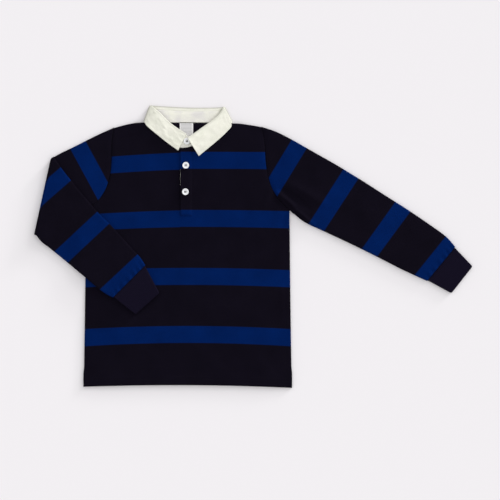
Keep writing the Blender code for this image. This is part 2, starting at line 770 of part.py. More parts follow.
def button_mesh():
    """A four-hole button: a turned profile with a rim and a dish, and four holes cut through."""
    inner = BUTTON_RADIUS - BUTTON_RIM
    profile = [
        (0.0, BUTTON_HEIGHT - BUTTON_DISH),
        (inner - BUTTON_RIM / 2, BUTTON_HEIGHT - BUTTON_DISH),
        (inner, BUTTON_HEIGHT),
        (BUTTON_RADIUS - BUTTON_DISH / 2, BUTTON_HEIGHT - BUTTON_DISH / 4),
        (BUTTON_RADIUS, BUTTON_HEIGHT / 2),
        (BUTTON_RADIUS - BUTTON_DISH, 0.0),
        (0.0, 0.0),
    ]
    bm = bmesh.new()
    rail = [bm.verts.new((x, 0.0, z)) for x, z in profile]
    for start, end in zip(rail, rail[1:]):
        bm.edges.new((start, end))
    mesh = bpy.data.meshes.new("button_profile")
    bm.to_mesh(mesh)
    bm.free()
    blank = bpy.data.objects.new("button_blank", mesh)
    CUTTERS.objects.link(blank)
    turning = blank.modifiers.new("turn", "SCREW")
    turning.steps = turning.render_steps = BUTTON_SIDES
    turning.use_merge_vertices = True
    turning.merge_threshold = 0.0001
    for i in range(4):
        angle = math.pi / 4 + i * math.pi / 2
        spot = (BUTTON_HOLE_SPREAD * math.cos(angle), BUTTON_HOLE_SPREAD * math.sin(angle), BUTTON_HEIGHT / 2)
        bpy.ops.mesh.primitive_cylinder_add(
            vertices=6, radius=BUTTON_HOLE_RADIUS, depth=2 * BUTTON_HEIGHT, location=spot
        )
        drill = bpy.context.object
        for collection in list(drill.users_collection):
            collection.objects.unlink(drill)
        CUTTERS.objects.link(drill)
        hidden(drill)
        cut = blank.modifiers.new("hole", "BOOLEAN")
        cut.operation = "DIFFERENCE"
        cut.object = drill
    hidden(blank)
    bpy.context.view_layer.update()
    graph = bpy.context.evaluated_depsgraph_get()
    return bpy.data.meshes.new_from_object(blank.evaluated_get(graph))


def hidden(piece):
    """Marks a cutter or a blank, which isn't part of the shirt."""
    piece.hide_render = True
    piece.display_type = "WIRE"


def make_buttons():
    """One button on the collar stand and two on the placket, each its own object of one mesh."""
    shape = button_mesh()
    for number, spot in enumerate(BUTTON_PLACES, start=1):
        button = placed(f"button_{number}", shape, WHITE_RESIN)
        on_stand = spot.y > front_neck_y(spot.x)
        top = NECK_UNDER + TWILL if on_stand else highest_placket(spot)
        button.location = (spot.x, spot.y, top + GAP)


def highest_placket(spot):
    """The placket's highest level under a button."""
    around = [(spot.x + dx * BUTTON_RADIUS, spot.y + dy * BUTTON_RADIUS) for dx in (-1, 0, 1) for dy in (-1, 0, 1)]
    return max(front_top(x, y) for x, y in around) + GAP + JERSEY


def clear_scene():
    for old in list(bpy.data.objects):
        bpy.data.objects.remove(old)


def collection_named(name):
    made = bpy.data.collections.new(name)
    bpy.context.scene.collection.children.link(made)
    return made


clear_scene()
SHIRT = collection_named("rugby_shirt")
CUTTERS = collection_named("cutters")
make_body()
make_left_sleeve()
make_right_sleeve()
make_cuff("cuff_left", LEFT_SLEEVE[-1], LEFT_CUFF_END, lambda x, y: 0.0)
make_cuff("cuff_right", RIGHT_FOREARM[-1], RIGHT_CUFF_END, forearm_under)
make_collar()
make_placket()
make_label()
make_buttons()
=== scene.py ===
import math
from collections import namedtuple

import bmesh
import bpy
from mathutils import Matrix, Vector, noise


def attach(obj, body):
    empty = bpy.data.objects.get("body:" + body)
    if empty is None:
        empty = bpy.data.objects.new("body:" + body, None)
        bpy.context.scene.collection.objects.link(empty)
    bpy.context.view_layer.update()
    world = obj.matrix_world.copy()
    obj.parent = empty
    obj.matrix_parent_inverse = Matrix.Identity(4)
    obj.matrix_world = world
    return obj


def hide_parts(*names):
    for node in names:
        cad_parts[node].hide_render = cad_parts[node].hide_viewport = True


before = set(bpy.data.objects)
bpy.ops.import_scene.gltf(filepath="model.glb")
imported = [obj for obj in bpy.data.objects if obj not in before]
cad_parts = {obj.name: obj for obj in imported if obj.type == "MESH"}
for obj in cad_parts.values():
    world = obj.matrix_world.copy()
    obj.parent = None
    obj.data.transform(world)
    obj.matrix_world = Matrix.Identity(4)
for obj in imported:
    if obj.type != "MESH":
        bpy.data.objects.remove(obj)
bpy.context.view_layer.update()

# The studio: a plain pale table top seen from straight above, in the soft even light of a pale
# room, with three wide lamps at the collar end on the left sleeve's side. The shirt lies face up
# with +Y towards its collar, and left and right are the wearer's, so its left sleeve is at +X.
VIEW_WIDTH = 0.850
VIEW_CENTRE_X, VIEW_CENTRE_Y = 0.1057, -0.0068
LENS_MM, SENSOR_MM = 100.0, 36.0
TABLE_SIZE = 40.0
TABLE_DROP = 0.0003
TABLE_COLOUR = (0.855, 0.832, 0.855)
ROOM_LIGHT = 0.796

Lamp = namedtuple("Lamp", "name elevation spread energy")
LAMPS = [
    Lamp("low_lamp", 7.0, 6.0, 1.35),
    Lamp("middle_lamp", 17.0, 20.0, 1.25),
    Lamp("high_lamp", 50.0, 60.0, 0.32),
]


def placed(name, data):
    """A new object of a mesh, lamp or camera."""
    made = bpy.data.objects.new(name, data)
    bpy.context.scene.collection.objects.link(made)
    return made


def add_node(tree, kind, inputs=(), **settings):
    """A node with its settings, and its input sockets set to values or linked to other sockets."""
    made = tree.nodes.new(kind)
    for key, value in settings.items():
        setattr(made, key, value)
    for socket, value in dict(inputs).items():
        if isinstance(value, bpy.types.NodeSocket):
            tree.links.new(value, made.inputs[socket])
        else:
            made.inputs[socket].default_value = value
    return made


def reckon(tree, operation, *values):
    """The result of a Math node on values or sockets."""
    return add_node(tree, "ShaderNodeMath", enumerate(values), operation=operation).outputs[0]


def plain_material(name, colour, roughness):
    """A new node material, with its tree and its shader node."""
    material = bpy.data.materials.new(name)
    material.use_nodes = True
    shader = material.node_tree.nodes["Principled BSDF"]
    shader.inputs["Base Color"].default_value = (*colour, 1.0)
    shader.inputs["Roughness"].default_value = roughness
    return material, material.node_tree, shader


room = bpy.data.worlds.new("room")
room.use_nodes = True
room.node_tree.nodes["Background"].inputs["Color"].default_value = (1.0, 1.0, 1.0, 1.0)
room.node_tree.nodes["Background"].inputs["Strength"].default_value = ROOM_LIGHT
bpy.context.scene.world = room
bpy.context.scene.view_settings.view_transform = "Standard"

for lamp in LAMPS:
    light = bpy.data.lights.new(lamp.name, "SUN")
    light.energy = lamp.energy
    light.angle = math.radians(lamp.spread)
    slope = math.radians(90.0 - lamp.elevation)
    placed(lamp.name, light).rotation_euler = (slope, 0.0, math.radians(135.0))

table_mesh = bpy.data.meshes.new("table")
half = TABLE_SIZE / 2
corners = ((-half, -half), (half, -half), (half, half), (-half, half))
table_mesh.from_pydata([(x, y, -TABLE_DROP) for x, y in corners], [], [(0, 1, 2, 3)])
table_material, table_tree, table_shader = plain_material("table_paint", TABLE_COLOUR, 0.9)
table_shader.inputs["Specular IOR Level"].default_value = 0.0
table_mesh.materials.append(table_material)
table = placed("table", table_mesh)

lens = bpy.data.cameras.new("camera")
lens.lens, lens.sensor_width = LENS_MM, SENSOR_MM
camera = placed("camera", lens)
camera.location = (VIEW_CENTRE_X, VIEW_CENTRE_Y, VIEW_WIDTH * LENS_MM / SENSOR_MM)
bpy.context.scene.camera = camera


# The back panel: heavy cotton jersey, navy with royal stripes knitted in, cut in one piece and
# turned up at the hem. It lies on the table, and the collar's back lies folded under its top.
JERSEY = 0.0013
TWILL = 0.0013
GAP = 0.0004
HALF_HEM = 0.1772
HEM_Y = -0.2400
HEM_RISE = 0.0038
HEM_TILT = 0.0009
HEM_DEPTH = 0.0170
HEM_PLY = 0.0004
HEM_PINCH = 0.00025
HEM_STITCH_IN = 0.0020
HEM_ROW_GAP = 0.0050
BACK_NECK_RISE = 0.0010
BACK_HOLLOW = 0.00022
EDGE_ROUND = 0.0004
PANEL_COLUMNS = 100
PANEL_ROWS = 134
STRIPE_PITCH = 0.0985
STRIPE_WIDTH = 0.0287
STRIPE_FROM_CENTRE = 0.0469
NAVY_BELOW = -0.2000
WALE = 0.00115
COURSE = 0.00092
NAVY = (0.0045, 0.0034, 0.0076)
ROYAL = (0.0002, 0.0108, 0.0790)

Point = namedtuple("Point", "x y")

# Seams to the sleeves, from the shoulder tip down to the armpit
LEFT_ARMHOLE = [
    Point(0.1260, 0.2018),
    Point(0.1306, 0.1740),
    Point(0.1322, 0.1450),
    Point(0.1358, 0.1200),
    Point(0.1430, 0.0970),
    Point(0.1560, 0.0775),
    Point(0.1726, 0.0604),
]
RIGHT_ARMHOLE = [
    Point(-0.1260, 0.2002),
    Point(-0.1290, 0.1735),
    Point(-0.1292, 0.1450),
    Point(-0.1318, 0.1200),
    Point(-0.1392, 0.0960),
    Point(-0.1530, 0.0760),
    Point(-0.1742, 0.0600),
]
# Side seam below the armpit, to the slit at the hem and the corner that stands out below it
SIDE = [
    Point(0.1733, 0.0000),
    Point(0.1744, -0.1000),
    Point(0.1760, -0.2060),
    Point(0.1772, -0.2150),
]
# Shoulder seams, from the shoulder tip to the neck point
LEFT_SHOULDER = [
    Point(0.1260, 0.2018),
    Point(0.1080, 0.2050),
    Point(0.0885, 0.2076),
    Point(0.0710, 0.2082),
]
RIGHT_SHOULDER = [
    Point(-0.1260, 0.2002),
    Point(-0.1080, 0.2052),
    Point(-0.0885, 0.2088),
    Point(-0.0710, 0.2096),
]
# The part of the back that the folded collar raises
RAISE = TWILL + GAP
RAISE_FROM_Y, RAISE_FULL_Y = 0.1700, 0.2020
RAISE_IN_X, RAISE_OUT_X = 0.0760, 0.1080

# How far the stripes sink from the centre line to the side seams, and how much more towards the hem
STRIPE_SAG, STRIPE_SAG_SLOPE = 0.0029, 0.0147
STRIPE_SAG_AT_X = 0.1680


def ease(share):
    """0 below 0, 1 above 1, and a smooth rise between."""
    share = min(max(share, 0.0), 1.0)
    return share * share * (3.0 - 2.0 * share)


def smooth_path(rows, steps):
    """Rows of numbers on one smooth curve through the given rows, with steps to each span."""
    path = []
    for i in range(len(rows) - 1):
        before, here = rows[max(i - 1, 0)], rows[i]
        there, after = rows[i + 1], rows[min(i + 2, len(rows) - 1)]
        for step in range(steps):
            t = step / steps
            numbers = []
            for a, b, c, d in zip(before, here, there, after):
                bend = t * (2 * a - 5 * b + 4 * c - d) + t * t * (3 * (b - c) + d - a)
                numbers.append(b + 0.5 * t * (c - a + bend))
            path.append(type(here)(*numbers))
    path.append(rows[-1])
    return path


def along(path, share):
    """The point at a share of a path's points, counted from its start."""
    at = min(max(share, 0.0), 1.0) * (len(path) - 1)
    i = min(int(at), len(path) - 2)
    return Vector(path[i]).lerp(Vector(path[i + 1]), at - i)


def evenly(path, count):
    """Points at even distances along a path."""
    marks = [0.0]
    for a, b in zip(path, path[1:]):
        marks.append(marks[-1] + math.dist(a, b))
    points, i = [], 0
    for k in range(count + 1):
        at = marks[-1] * k / count
        while i < len(path) - 2 and marks[i + 1] < at:
            i += 1
        share = (at - marks[i]) / (marks[i + 1] - marks[i])
        points.append(Vector(path[i]).lerp(Vector(path[i + 1]), share))
    return points


def distance_to_segment(x, y, start_x, start_y, end_x, end_y):
    """(distance to a straight segment, share of its length at the nearest point)."""
    run_x, run_y = end_x - start_x, end_y - start_y
    share = ((x - start_x) * run_x + (y - start_y) * run_y) / (run_x**2 + run_y**2)
    near = min(max(share, 0.0), 1.0)
    return math.hypot(x - start_x - near * run_x, y - start_y - near * run_y), near


def distance_to_path(x, y, path):
    return min(distance_to_segment(x, y, *a, *b)[0] for a, b in zip(path, path[1:]))


LEFT_ARMHOLE_PATH = smooth_path(LEFT_ARMHOLE, 8)
RIGHT_ARMHOLE_PATH = smooth_path(RIGHT_ARMHOLE, 8)
LEFT_SHOULDER_PATH = smooth_path(LEFT_SHOULDER, 6)
RIGHT_SHOULDER_PATH = smooth_path(RIGHT_SHOULDER, 6)


def shoulder_y(x):
    path = LEFT_SHOULDER_PATH if x > 0 else RIGHT_SHOULDER_PATH
    for outer, inner in zip(path, path[1:]):
        if abs(inner.x) <= abs(x) <= abs(outer.x):
            return inner.y + (outer.y - inner.y) * (x - inner.x) / (outer.x - inner.x)
    return path[-1].y if abs(x) < abs(path[-1].x) else path[0].y


def hem_y(x):
    return HEM_Y + HEM_RISE * (1.0 - (x / HALF_HEM) ** 2) - HEM_TILT * x / HALF_HEM


def rumple(x, y, height, size):
    """Slight unevenness of relaxed cloth, up or down by a height."""
    broad = noise.noise(Vector((x / size, y / size, 0.37)))
    fine = noise.noise(Vector((x * 2.3 / size, y * 2.3 / size, 4.1)))
    return height * (0.7 * broad + 0.3 * fine)


def hem_ply(x, y):
    """Extra thickness of the turned-up hem, pinched where it is stitched down."""
    above = y - hem_y(x)
    pinch = math.exp(-(((above - HEM_DEPTH + HEM_STITCH_IN) / 0.0012) ** 2))
    return HEM_PLY * ease((HEM_DEPTH + 0.0010 - above) / 0.0020) - HEM_PINCH * pinch


def back_under(x, y):
    """Underside of the back: flat on the table, and raised over the folded collar."""
    up = ease((y - RAISE_FROM_Y) / (RAISE_FULL_Y - RAISE_FROM_Y))
    return RAISE * up * ease((RAISE_OUT_X - abs(x)) / (RAISE_OUT_X - RAISE_IN_X))


def back_lift(x, y):
    """Shallow hollows between the back and the table, where the cloth isn't pressed down."""
    inside = ease((0.168 - abs(x)) / 0.03) * ease((0.165 - y) / 0.03) * ease((y + 0.225) / 0.02)
    return BACK_HOLLOW * inside * max(rumple(x, y, 2.0, 0.055), 0.0)


def body_stripes(x, y):
    """Place in the knitted cloth of a point on a body panel: across the wales, and up the stripes."""
    return x, y + (STRIPE_SAG - STRIPE_SAG_SLOPE * y) * (x / STRIPE_SAG_AT_X) ** 2


def cloth_place(tree):
    """The place in a piece's own cloth: across it, and up or along it."""
    cloth = add_node(tree, "ShaderNodeUVMap", uv_map="cloth").outputs["UV"]
    place = add_node(tree, "ShaderNodeSeparateXYZ", {"Vector": cloth})
    return place.outputs["X"], place.outputs["Y"]


def mottle(tree, scale, detail=2.0):
    """Soft irregular spots, finer with a larger scale."""
    spot = add_node(tree, "ShaderNodeTexCoord").outputs["Object"]
    spots = add_node(tree, "ShaderNodeTexNoise", {"Vector": spot, "Scale": scale, "Detail": detail})
    return spots.outputs["Fac"]


def wave(tree, value, length=1.0):
    """A sine wave of a value, with a full turn for each length."""
    return reckon(tree, "SINE", reckon(tree, "MULTIPLY", value, 2 * math.pi / length))


def ramp(tree, value, low, high):
    """0 below one value, 1 above another, and even between."""
    limits = {"Value": value, "From Min": low, "From Max": high}
    return add_node(tree, "ShaderNodeMapRange", limits).outputs["Result"]


def from_half(tree, value):
    """How far a value lies from halfway between two whole numbers."""
    return reckon(tree, "ABSOLUTE", reckon(tree, "SUBTRACT", reckon(tree, "FRACT", value), 0.5))


def blend(tree, share, first, second):
    """The first colour where the share is 0, and the second where it is 1."""
    colours = {"Factor": share, "A": (*first, 1.0), "B": (*second, 1.0)}
    return add_node(tree, "ShaderNodeMix", colours, data_type="RGBA").outputs["Result"]


def dye(tree, shader, colour, shade):
    """Give a surface its colour, darkened or lightened by a shade."""
    dyed = add_node(tree, "ShaderNodeVectorMath", {0: colour, "Scale": shade}, operation="SCALE")
    tree.links.new(dyed.outputs["Vector"], shader.inputs["Base Color"])


def emboss(tree, shader, relief, depth, strength):
    """Give a surface its finest relief."""
    bump = add_node(tree, "ShaderNodeBump", {"Height": relief, "Distance": depth, "Strength": strength})
    tree.links.new(bump.outputs["Normal"], shader.inputs["Normal"])


def jersey_material():
    """Stocking-stitch jersey: two slanting legs of yarn to each wale, in navy and royal stripes."""
    material, tree, shader = plain_material("striped_jersey", NAVY, 0.9)
    across, up = cloth_place(tree)

    pitches = reckon(tree, "DIVIDE", reckon(tree, "SUBTRACT", up, STRIPE_FROM_CENTRE), STRIPE_PITCH)
    from_stripe = from_half(tree, reckon(tree, "ADD", pitches, 0.5))
    inside = reckon(tree, "SUBTRACT", STRIPE_WIDTH / STRIPE_PITCH / 2, from_stripe)
    half_course = COURSE / 2 / STRIPE_PITCH
    in_stripe = ramp(tree, inside, -half_course, half_course)
    in_stripe = reckon(tree, "MULTIPLY", in_stripe, reckon(tree, "GREATER_THAN", up, NAVY_BELOW))

    wale = reckon(tree, "DIVIDE", across, WALE)
    leg = reckon(tree, "ABSOLUTE", wave(tree, wale))
    row = reckon(tree, "ADD", reckon(tree, "DIVIDE", up, COURSE), from_half(tree, wale))
    loop = reckon(tree, "MULTIPLY_ADD", wave(tree, row), 0.25, 0.75)
    yarn = reckon(tree, "MULTIPLY", reckon(tree, "POWER", leg, 0.6), loop)

    fibres, wear = mottle(tree, 900.0), mottle(tree, 26.0, 3.0)
    uneven = reckon(tree, "MULTIPLY_ADD", fibres, 0.5, 0.75)
    uneven = reckon(tree, "MULTIPLY", uneven, reckon(tree, "MULTIPLY_ADD", wear, 0.5, 0.75))
    # Darker between the yarn legs and loops: painted shade in the knit's recesses, over its uneven tone
    shade = reckon(tree, "MULTIPLY", uneven, reckon(tree, "MULTIPLY_ADD", yarn, 0.6, 0.72))
    dye(tree, shader, blend(tree, in_stripe, NAVY, ROYAL), shade)

    relief = reckon(tree, "ADD", yarn, reckon(tree, "MULTIPLY", fibres, 0.5))
    emboss(tree, shader, relief, 0.00022, 0.8)
    shader.inputs["Specular IOR Level"].default_value = 0.02
    shader.inputs["Sheen Weight"].default_value = 0.002
    shader.inputs["Sheen Roughness"].default_value = 0.45
    return material


def mesh_from(name, points, faces, cloth_corners, material):
    """A closed mesh with its faces outwards and its places in the cloth as a UV map."""
    mesh = bpy.data.meshes.new(name)
    mesh.from_pydata(points, [], faces)
    numbers = [number for face in cloth_corners for corner in face for number in corner]
    mesh.uv_layers.new(name="cloth").data.foreach_set("uv", numbers)
    bm = bmesh.new()
    bm.from_mesh(mesh)
    bmesh.ops.recalc_face_normals(bm, faces=bm.faces)
    bm.to_mesh(mesh)
    bm.free()
    mesh.materials.append(material)
    mesh.shade_smooth()
    return placed(name, mesh)


def panel_rows(top_y):
    """Plan points of a body panel: rows from the hem to a top edge, between the two sides."""
    spread = [2 * i / PANEL_COLUMNS - 1 for i in range(PANEL_COLUMNS + 1)]
    low = [Vector((HALF_HEM * share, hem_y(HALF_HEM * share))) for share in spread]
    tip_x = LEFT_SHOULDER[0].x
    high = [Vector((tip_x * share, top_y(tip_x * share))) for share in spread]
    right_side = [Point(-p.x, p.y) for p in SIDE[::-1]]
    left_edge = evenly([Point(*low[0])] + right_side + RIGHT_ARMHOLE_PATH[::-1], PANEL_ROWS)
    right_edge = evenly([Point(*low[-1])] + SIDE[::-1] + LEFT_ARMHOLE_PATH[::-1], PANEL_ROWS)
    rows = []
    for j, (start, end) in enumerate(zip(left_edge, right_edge)):
        t = j / PANEL_ROWS
        row = []
        for i, (below, above) in enumerate(zip(low, high)):
            s = i / PANEL_COLUMNS
            corners = low[0].lerp(low[-1], s).lerp(high[0].lerp(high[-1], s), t)
            row.append(below.lerp(above, t) + start.lerp(end, s) - corners)
        rows.append(row)
    return rows


def cloth_panel(name, rows, under, over, cloth_at, material):
    """A closed shell between two heights over rows of plan points, with a rounded rim."""
    count, width = len(rows), len(rows[0])
    points, places, cloth = [], {}, []

    def add(key, plan, height):
        places[key] = len(points)
        points.append((plan.x, plan.y, height))
        cloth.append(cloth_at(plan.x, plan.y))

    rim = [(0, i) for i in range(width)] + [(j, width - 1) for j in range(1, count)]
    rim += [(count - 1, i) for i in range(width - 2, -1, -1)] + [(j, 0) for j in range(count - 2, 0, -1)]
    on_rim = set(rim)
    for j, row in enumerate(rows):
        for i, plan in enumerate(row):
            if (j, i) in on_rim:
                within = rows[min(max(j, 1), count - 2)][min(max(i, 1), width - 2)]
                plan = plan + (within - plan).normalized() * EDGE_ROUND
            add(("under", j, i), plan, under(*plan))
            add(("over", j, i), plan, over(*plan))
    for j, i in rim:
        plan = rows[j][i]
        add(("rim", j, i), plan, (under(*plan) + over(*plan)) / 2)
    faces = []
    for j in range(count - 1):
        for i in range(width - 1):
            for side in ("under", "over"):
                ring = [(j, i), (j, i + 1), (j + 1, i + 1), (j + 1, i)]
                faces.append([places[(side, *spot)] for spot in ring])
    for a, b in zip(rim, rim[1:] + rim[:1]):
        for low, high in (("under", "rim"), ("rim", "over")):
            ring = ((low, a), (low, b), (high, b), (high, a))
            faces.append([places[(side, *spot)] for side, spot in ring])
    return mesh_from(name, points, faces, [[cloth[k] for k in face] for face in faces], material)


def back_neck_y(x):
    neck_x, neck_y = LEFT_SHOULDER[-1]
    return neck_y + BACK_NECK_RISE * (1.0 - (x / neck_x) ** 4) if abs(x) < neck_x else shoulder_y(x)


def start_tree(name, inputs, output):
    """A Geometry Nodes tree with named inputs and one output, and the sockets of its inputs."""
    tree = bpy.data.node_groups.new(name, "GeometryNodeTree")
    for label, kind in inputs:
        tree.interface.new_socket(label, in_out="INPUT", socket_type="NodeSocket" + kind)
    tree.interface.new_socket(output, in_out="OUTPUT", socket_type="NodeSocketGeometry")
    return tree, tree.nodes.new("NodeGroupInput").outputs


def end_tree(tree, shape, material, output):
    """Close a Geometry Nodes tree with real copies in one material."""
    real = add_node(tree, "GeometryNodeRealizeInstances", {"Geometry": shape})
    in_material = {"Geometry": real.outputs["Geometry"], "Material": material}
    dyed = add_node(tree, "GeometryNodeSetMaterial", in_material)
    result = tree.nodes.new("NodeGroupOutput")
    tree.links.new(dyed.outputs["Geometry"], result.inputs[output])
    return tree


def stitch_tree():
    """Stitches along a path: a rounded stitch at each step, laid along the path."""
    sizes = [("Path", "Geometry"), ("Step", "Float"), ("Length", "Float"), ("Thread", "Float")]
    tree, given = start_tree("stitch_row", sizes + [("Cloth thread", "Material")], "Stitches")
    line = add_node(tree, "GeometryNodeMeshToCurve", {"Mesh": given["Path"]})
    spacing = {"Curve": line.outputs["Curve"], "Length": given["Step"]}
    steps = add_node(tree, "GeometryNodeResampleCurve", spacing, mode="LENGTH")
    bead = add_node(tree, "GeometryNodeMeshUVSphere", {"Segments": 6, "Rings": 5, "Radius": 0.5})
    lengths = {"X": given["Length"], "Y": given["Thread"], "Z": given["Thread"]}
    size = add_node(tree, "ShaderNodeCombineXYZ", lengths)
    sized = {"Geometry": bead.outputs["Mesh"], "Scale": size.outputs["Vector"]}
    stitch = add_node(tree, "GeometryNodeTransform", sized)
    direction = tree.nodes.new("GeometryNodeInputTangent").outputs["Tangent"]
    turned = add_node(tree, "FunctionNodeAlignRotationToVector", {"Vector": direction}, axis="X")
    laid = {
        "Points": steps.outputs["Curve"],
        "Instance": stitch.outputs["Geometry"],
        "Rotation": turned.outputs["Rotation"],
    }
    row = add_node(tree, "GeometryNodeInstanceOnPoints", laid)
    return end_tree(tree, row.outputs["Instances"], given["Cloth thread"], "Stitches")


def made_by(tree, piece, inputs):
    """The piece with a Geometry Nodes tree's result as its own plain mesh."""
    change = piece.modifiers.new("shape", "NODES")
    change.node_group = tree
    for item in tree.interface.items_tree:
        if item.in_out == "INPUT" and item.name in inputs:
            change[item.identifier] = inputs[item.name]
    graph = bpy.context.evaluated_depsgraph_get()
    mesh = bpy.data.meshes.new_from_object(piece.evaluated_get(graph))
    piece.modifiers.clear()
    piece.data = mesh
    return piece


def thread_material(name, colour):
    """Twisted sewing thread, its plies as fine slanting ridges."""
    material, tree, shader = plain_material(name, colour, 0.6)
    dye(tree, shader, colour, reckon(tree, "MULTIPLY_ADD", mottle(tree, 700.0), 0.4, 0.8))
    spot = add_node(tree, "ShaderNodeTexCoord").outputs["Object"]
    twist = {"Vector": spot, "Scale": 900.0, "Distortion": 1.5}
    plies = add_node(tree, "ShaderNodeTexWave", twist, bands_direction="DIAGONAL")
    emboss(tree, shader, plies.outputs["Fac"], 0.00005, 0.6)
    shader.inputs["Specular IOR Level"].default_value = 0.10
    return material


def stitch_rows(name, paths, step, length, thread, material):
    """One mesh of stitch rows along paths of points on the cloth."""
    mesh = bpy.data.meshes.new(name)
    points, edges = [], []
    for path in paths:
        first = len(points)
        points += [tuple(p) for p in path]
        edges += [(k, k + 1) for k in range(first, len(points) - 1)]
    mesh.from_pydata(points, edges, [])
    sizes = {"Step": step, "Length": length, "Thread": thread, "Cloth thread": material}
    rows = made_by(STITCHES, placed(name, mesh), sizes)
    rows.data.shade_smooth()
    return rows


STITCHES = stitch_tree()
jersey = jersey_material()
navy_thread = thread_material("navy_thread", (0.005, 0.004, 0.009))


def back_bottom(x, y):
    return back_under(x, y) + back_lift(x, y)


def back_top(x, y):
    return back_bottom(x, y) + JERSEY


def hem_stitches(name, surface):
    """The two rows of stitches across a panel that hold its turned-up hem."""
    reach = HALF_HEM - 0.004
    rows = []
    for gap in (0.0, HEM_ROW_GAP):
        above = HEM_DEPTH - HEM_STITCH_IN - gap
        plan = [(x, hem_y(x) + above) for x in (reach * (i / 60 - 1) for i in range(121))]
        rows.append([(x, y, surface(x, y) + 0.00005) for x, y in plan])
    return stitch_rows(name, rows, 0.0033, 0.0027, 0.00028, navy_thread)


back = cloth_panel("back_panel", panel_rows(back_neck_y), back_bottom, back_top, body_stripes, jersey)
back_stitches = hem_stitches("back_hem_stitches", back_top)
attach(back, "root")
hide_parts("back")
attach(back_stitches, "root")


# The front panel: the same jersey, laid over the back and seamed to it. It swells a little between
# its seams, dips at them, meets the collar stand at the neck and carries the placket.
ARMPIT_Y = 0.0600
PILLOW = 0.0014
SIDE_EASE = 0.0450
SHOULDER_EASE = 0.0400
FOLD_EASE = 0.0100
SEAM_DIP = 0.0009
SEAM_REACH = 0.0032
FOLD_HEIGHT = 0.0036
LEAF_INNER = FOLD_HEIGHT - TWILL
STAND_INNER = LEAF_INNER - GAP - TWILL
NECK_UNDER = FOLD_HEIGHT + STAND_INNER
NECK_BLEND = 0.0400
# The right front sits a little lower than the left one, most beside the placket's open stretch
PLACKET_LEFT_X = -0.0124
FRONT_STEP = 0.0016
FRONT_SKEW = 0.0055

# Front neck seam, from the right neck point to the left one
FRONT_NECK = [
    Point(-0.0710, 0.2090),
    Point(-0.0600, 0.2012),
    Point(-0.0360, 0.1850),
    Point(-0.0200, 0.1712),
    Point(-0.0115, 0.1658),
    Point(0.0000, 0.1668),
    Point(0.0090, 0.1700),
    Point(0.0340, 0.1850),
    Point(0.0600, 0.2010),
    Point(0.0710, 0.2082),
]

Fold = namedtuple("Fold", "start_x start_y end_x end_y width height")

# Soft folds of the front, the troughs with a height below 0
FRONT_FOLDS = [
    Fold(0.1660, 0.0600, 0.1200, 0.0080, 0.0090, 0.0018),
    Fold(0.1630, 0.0200, 0.1540, -0.0700, 0.0090, 0.0009),
    Fold(0.1420, 0.1000, 0.1300, 0.0650, 0.0070, 0.0014),
    Fold(0.1605, -0.0650, 0.1610, -0.1300, 0.0036, 0.0009),
    Fold(0.0600, 0.1650, 0.0950, 0.1050, 0.0160, 0.0008),
    Fold(-0.0850, 0.1700, -0.1120, 0.1300, 0.0140, 0.0007),
    Fold(0.0200, -0.0900, 0.1150, -0.1150, 0.0170, 0.0009),
    Fold(-0.1200, -0.1550, -0.0300, -0.1450, 0.0180, 0.0008),
    Fold(0.1050, -0.1700, 0.1450, -0.2250, 0.0140, 0.0009),
    Fold(0.1440, 0.0820, 0.1720, 0.0520, 0.0042, -0.0016),
    Fold(0.1660, 0.0520, 0.1620, 0.0280, 0.0036, -0.0012),
    Fold(-0.1150, 0.1950, -0.0700, 0.1850, 0.0070, 0.0005),
    Fold(0.0900, 0.1960, 0.1180, 0.1820, 0.0060, 0.0005),
    Fold(0.0180, 0.0900, 0.0620, 0.0780, 0.0080, -0.0004),
    Fold(-0.0300, 0.0100, 0.0400, 0.0220, 0.0090, -0.0003),
    Fold(0.0500, -0.1900, 0.0900, -0.2200, 0.0080, -0.0005),
    Fold(-0.0600, -0.2050, -0.1250, -0.2200, 0.0090, -0.0004),
    Fold(-0.1480, -0.0765, -0.1275, -0.0895, 0.0030, -0.0014),
    Fold(-0.1290, -0.0885, -0.0890, -0.1185, 0.0030, -0.0016),
    Fold(-0.0870, -0.1170, -0.0470, -0.0815, 0.0030, -0.0014),
]
FRONT_NECK_PATH = smooth_path(FRONT_NECK, 6)


def front_neck_y(x):
    for left, right in zip(FRONT_NECK_PATH, FRONT_NECK_PATH[1:]):
        if left.x <= x <= right.x:
            return left.y + (right.y - left.y) * (x - left.x) / (right.x - left.x)
    return FRONT_NECK_PATH[0].y


def front_edge_y(x):
    return front_neck_y(x) if abs(x) < FRONT_NECK_PATH[-1].x else shoulder_y(x)


def folds_at(x, y, folds):
    """Height of the soft folds at a point: each is rounded across and fades at its ends."""
    total = 0.0
    for fold in folds:
        away, share = distance_to_segment(x, y, *fold[:4])
        if away < 3 * fold.width:
            swell = fold.height * math.exp(-((away / fold.width) ** 2))
            total += swell * math.sin(math.pi * (0.15 + 0.7 * share))
    return total


def seam_dip(distance):
    """How far cloth dips at a distance from a seam."""
    return SEAM_DIP * math.exp(-((distance / SEAM_REACH) ** 2))


